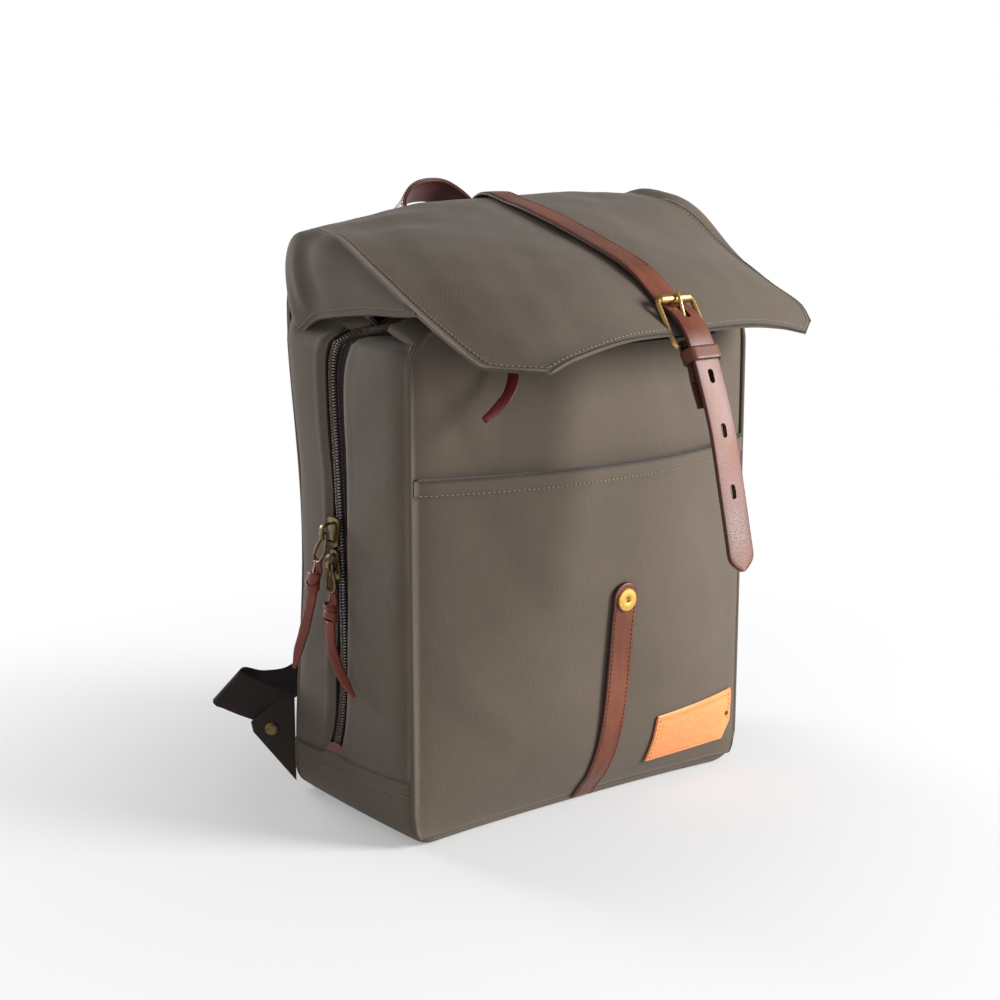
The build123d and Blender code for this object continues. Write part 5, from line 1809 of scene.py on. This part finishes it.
def make_shoulder(name):
    body = "strap_" + name
    low, high = cad("shoulder_strap_" + name)
    centre = (low[0] + high[0]) / 2
    line = smooth_line([(centre, y, z) for y, z in STRAP_LINE], 120)
    along = length_along(line)
    share = along / along[-1]
    width = 58.0 - 14.0 * np.clip(
        (share - 0.82) / 0.18, 0, 1,
    ) ** 1.5 - 3.0 * np.clip((0.1 - share) / 0.1, 0, 1)
    pad = strap("shoulder_pad_" + name, line, (-1, 0, 0), width - 3, 9.0, PADDED, crown=1.2, corner=4.0)
    wear(pad, body, "padded_canvas", "shoulder_strap_" + name)
    _, across, normal = frames(line, (-1, 0, 0))
    for s, tag in ((-1, "a"), (1, "b")):
        edge = line + across * (s * (width[:, None] / 2 - 1.8))
        binding = tube(f"shoulder_binding_{name}_{tag}", edge, 1.9, WEBBING, 10)
        wear(binding, body, "webbing")
    rows = [(
        line[4:-4] + across[4:-4] * s * (width[4:-4, None] / 2 - 7) + normal[4:-4] * k * 5.1,
        normal[4:-4] * k,
    )
            for s in (-1, 1) for k in (-1, 1)]
    wear(stitches("shoulder_stitches_" + name, rows, THREAD), body, "padded_canvas")
    band = line[int(0.08 * 120):] + normal[int(0.08 * 120):] * 5.9
    wear(strap("shoulder_band_" + name, band, (-1, 0, 0), 30.0, 1.3, WEBBING), body, "webbing")


def make_ladder_lock(name):
    low, high = cad("ladder_lock_" + name)
    centre = (low + high) / 2
    outline = rounded(45, 31, 5)
    holes = [rounded(38, 5, 1.6, 4, (0, -7)), rounded(38, 5, 1.6, 4, (0, 4))]
    plate = solid(
        "ladder_" + name, outline, (centre[0], low[1] + 0.6, centre[2]), (-1, 0, 0), (0, 0, 1), 4.6,
        PLASTIC, 0.9, holes,
    )
    bars = [plate]
    for drop in (-1.5, 10.5):
        rib = [(centre[0] + x, high[1] - 0.9, centre[2] + drop) for x in np.linspace(-19, 19, 12)]
        bars.append(tube("ladder_rib", rib, 1.7, PLASTIC, 10))
    wear(joined("ladder_lock_plastic_" + name, bars), "strap_" + name, "plastic", "ladder_lock_" + name)


def make_tab(side, name):
    """The lower tab: folded canvas with its rivet."""
    out = np.array([side * 0.82, 0.57, 0.0])
    outline = [(-1, -36), (-1, 32), (6, 31), (31, 9.5), (29.5, 2)]
    plane = np.array([side * (HALF_WIDTH - 1.0), SEAM_BACK + 9.5, 40.0])
    across = out if side > 0 else -out
    points = outline if side > 0 else [(-a, b) for a, b in outline][::-1]
    # The tab's darker canvas is painted shade, not a different cloth.
    tab = solid(
        "lower_tab_" + name, points, plane - np.cross(unit(across), (0, 0, 1)) * 0.2, across, (0, 0, 1),
        4.2, SHADED_TAB_CANVAS, 1.4,
    )
    wear(tab, "pack", "canvas", "lower_tab_" + name)
    face = np.cross(unit(across), (0, 0, 1))
    if face[1] > 0:
        face = -face
    spot = plane + out * 16 + np.array([0, 0, 5.0])
    lift = 4.0 if np.cross(unit(across), (0, 0, 1))[1] < 0 else 0.2
    rivet = [(0.01, 0), (4.6, 0), (5.0, 0.4), (4.8, 1.0), (3.6, 1.7), (2.0, 2.1), (0.01, 2.2)]
    wear(
        turned("rivet_brass_" + name, rivet, spot + face * lift, face, BRASS_DARK), "pack",
        "antique_brass", "rivet_" + name,
    )


def make_webbing(side, name):
    mirror = np.array([side, 1, 1])
    stops = np.array([place for place, _ in WEB_STATIONS], float) * mirror
    ways = np.array([unit(np.array(way, float)) for _, way in WEB_STATIONS]) * mirror
    places = smooth_line(stops, 150)
    marks = [int(np.argmin(np.linalg.norm(places - stop, axis=1))) for stop in stops]
    across = np.column_stack([np.interp(np.arange(150), marks, ways[:, k]) for k in range(3)])
    band = strap("webbing_" + name, places, unit(across), 37.0, 1.7, WEBBING, corner=0.6)
    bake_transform(band)
    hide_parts("webbing_" + name)


make_back()
make_back_pad()
make_handle()
for each_side, each_name in ((-1, "left"), (1, "right")):
    make_shoulder(each_name)
    make_ladder_lock(each_name)
    make_tab(each_side, each_name)
    make_webbing(each_side, each_name)
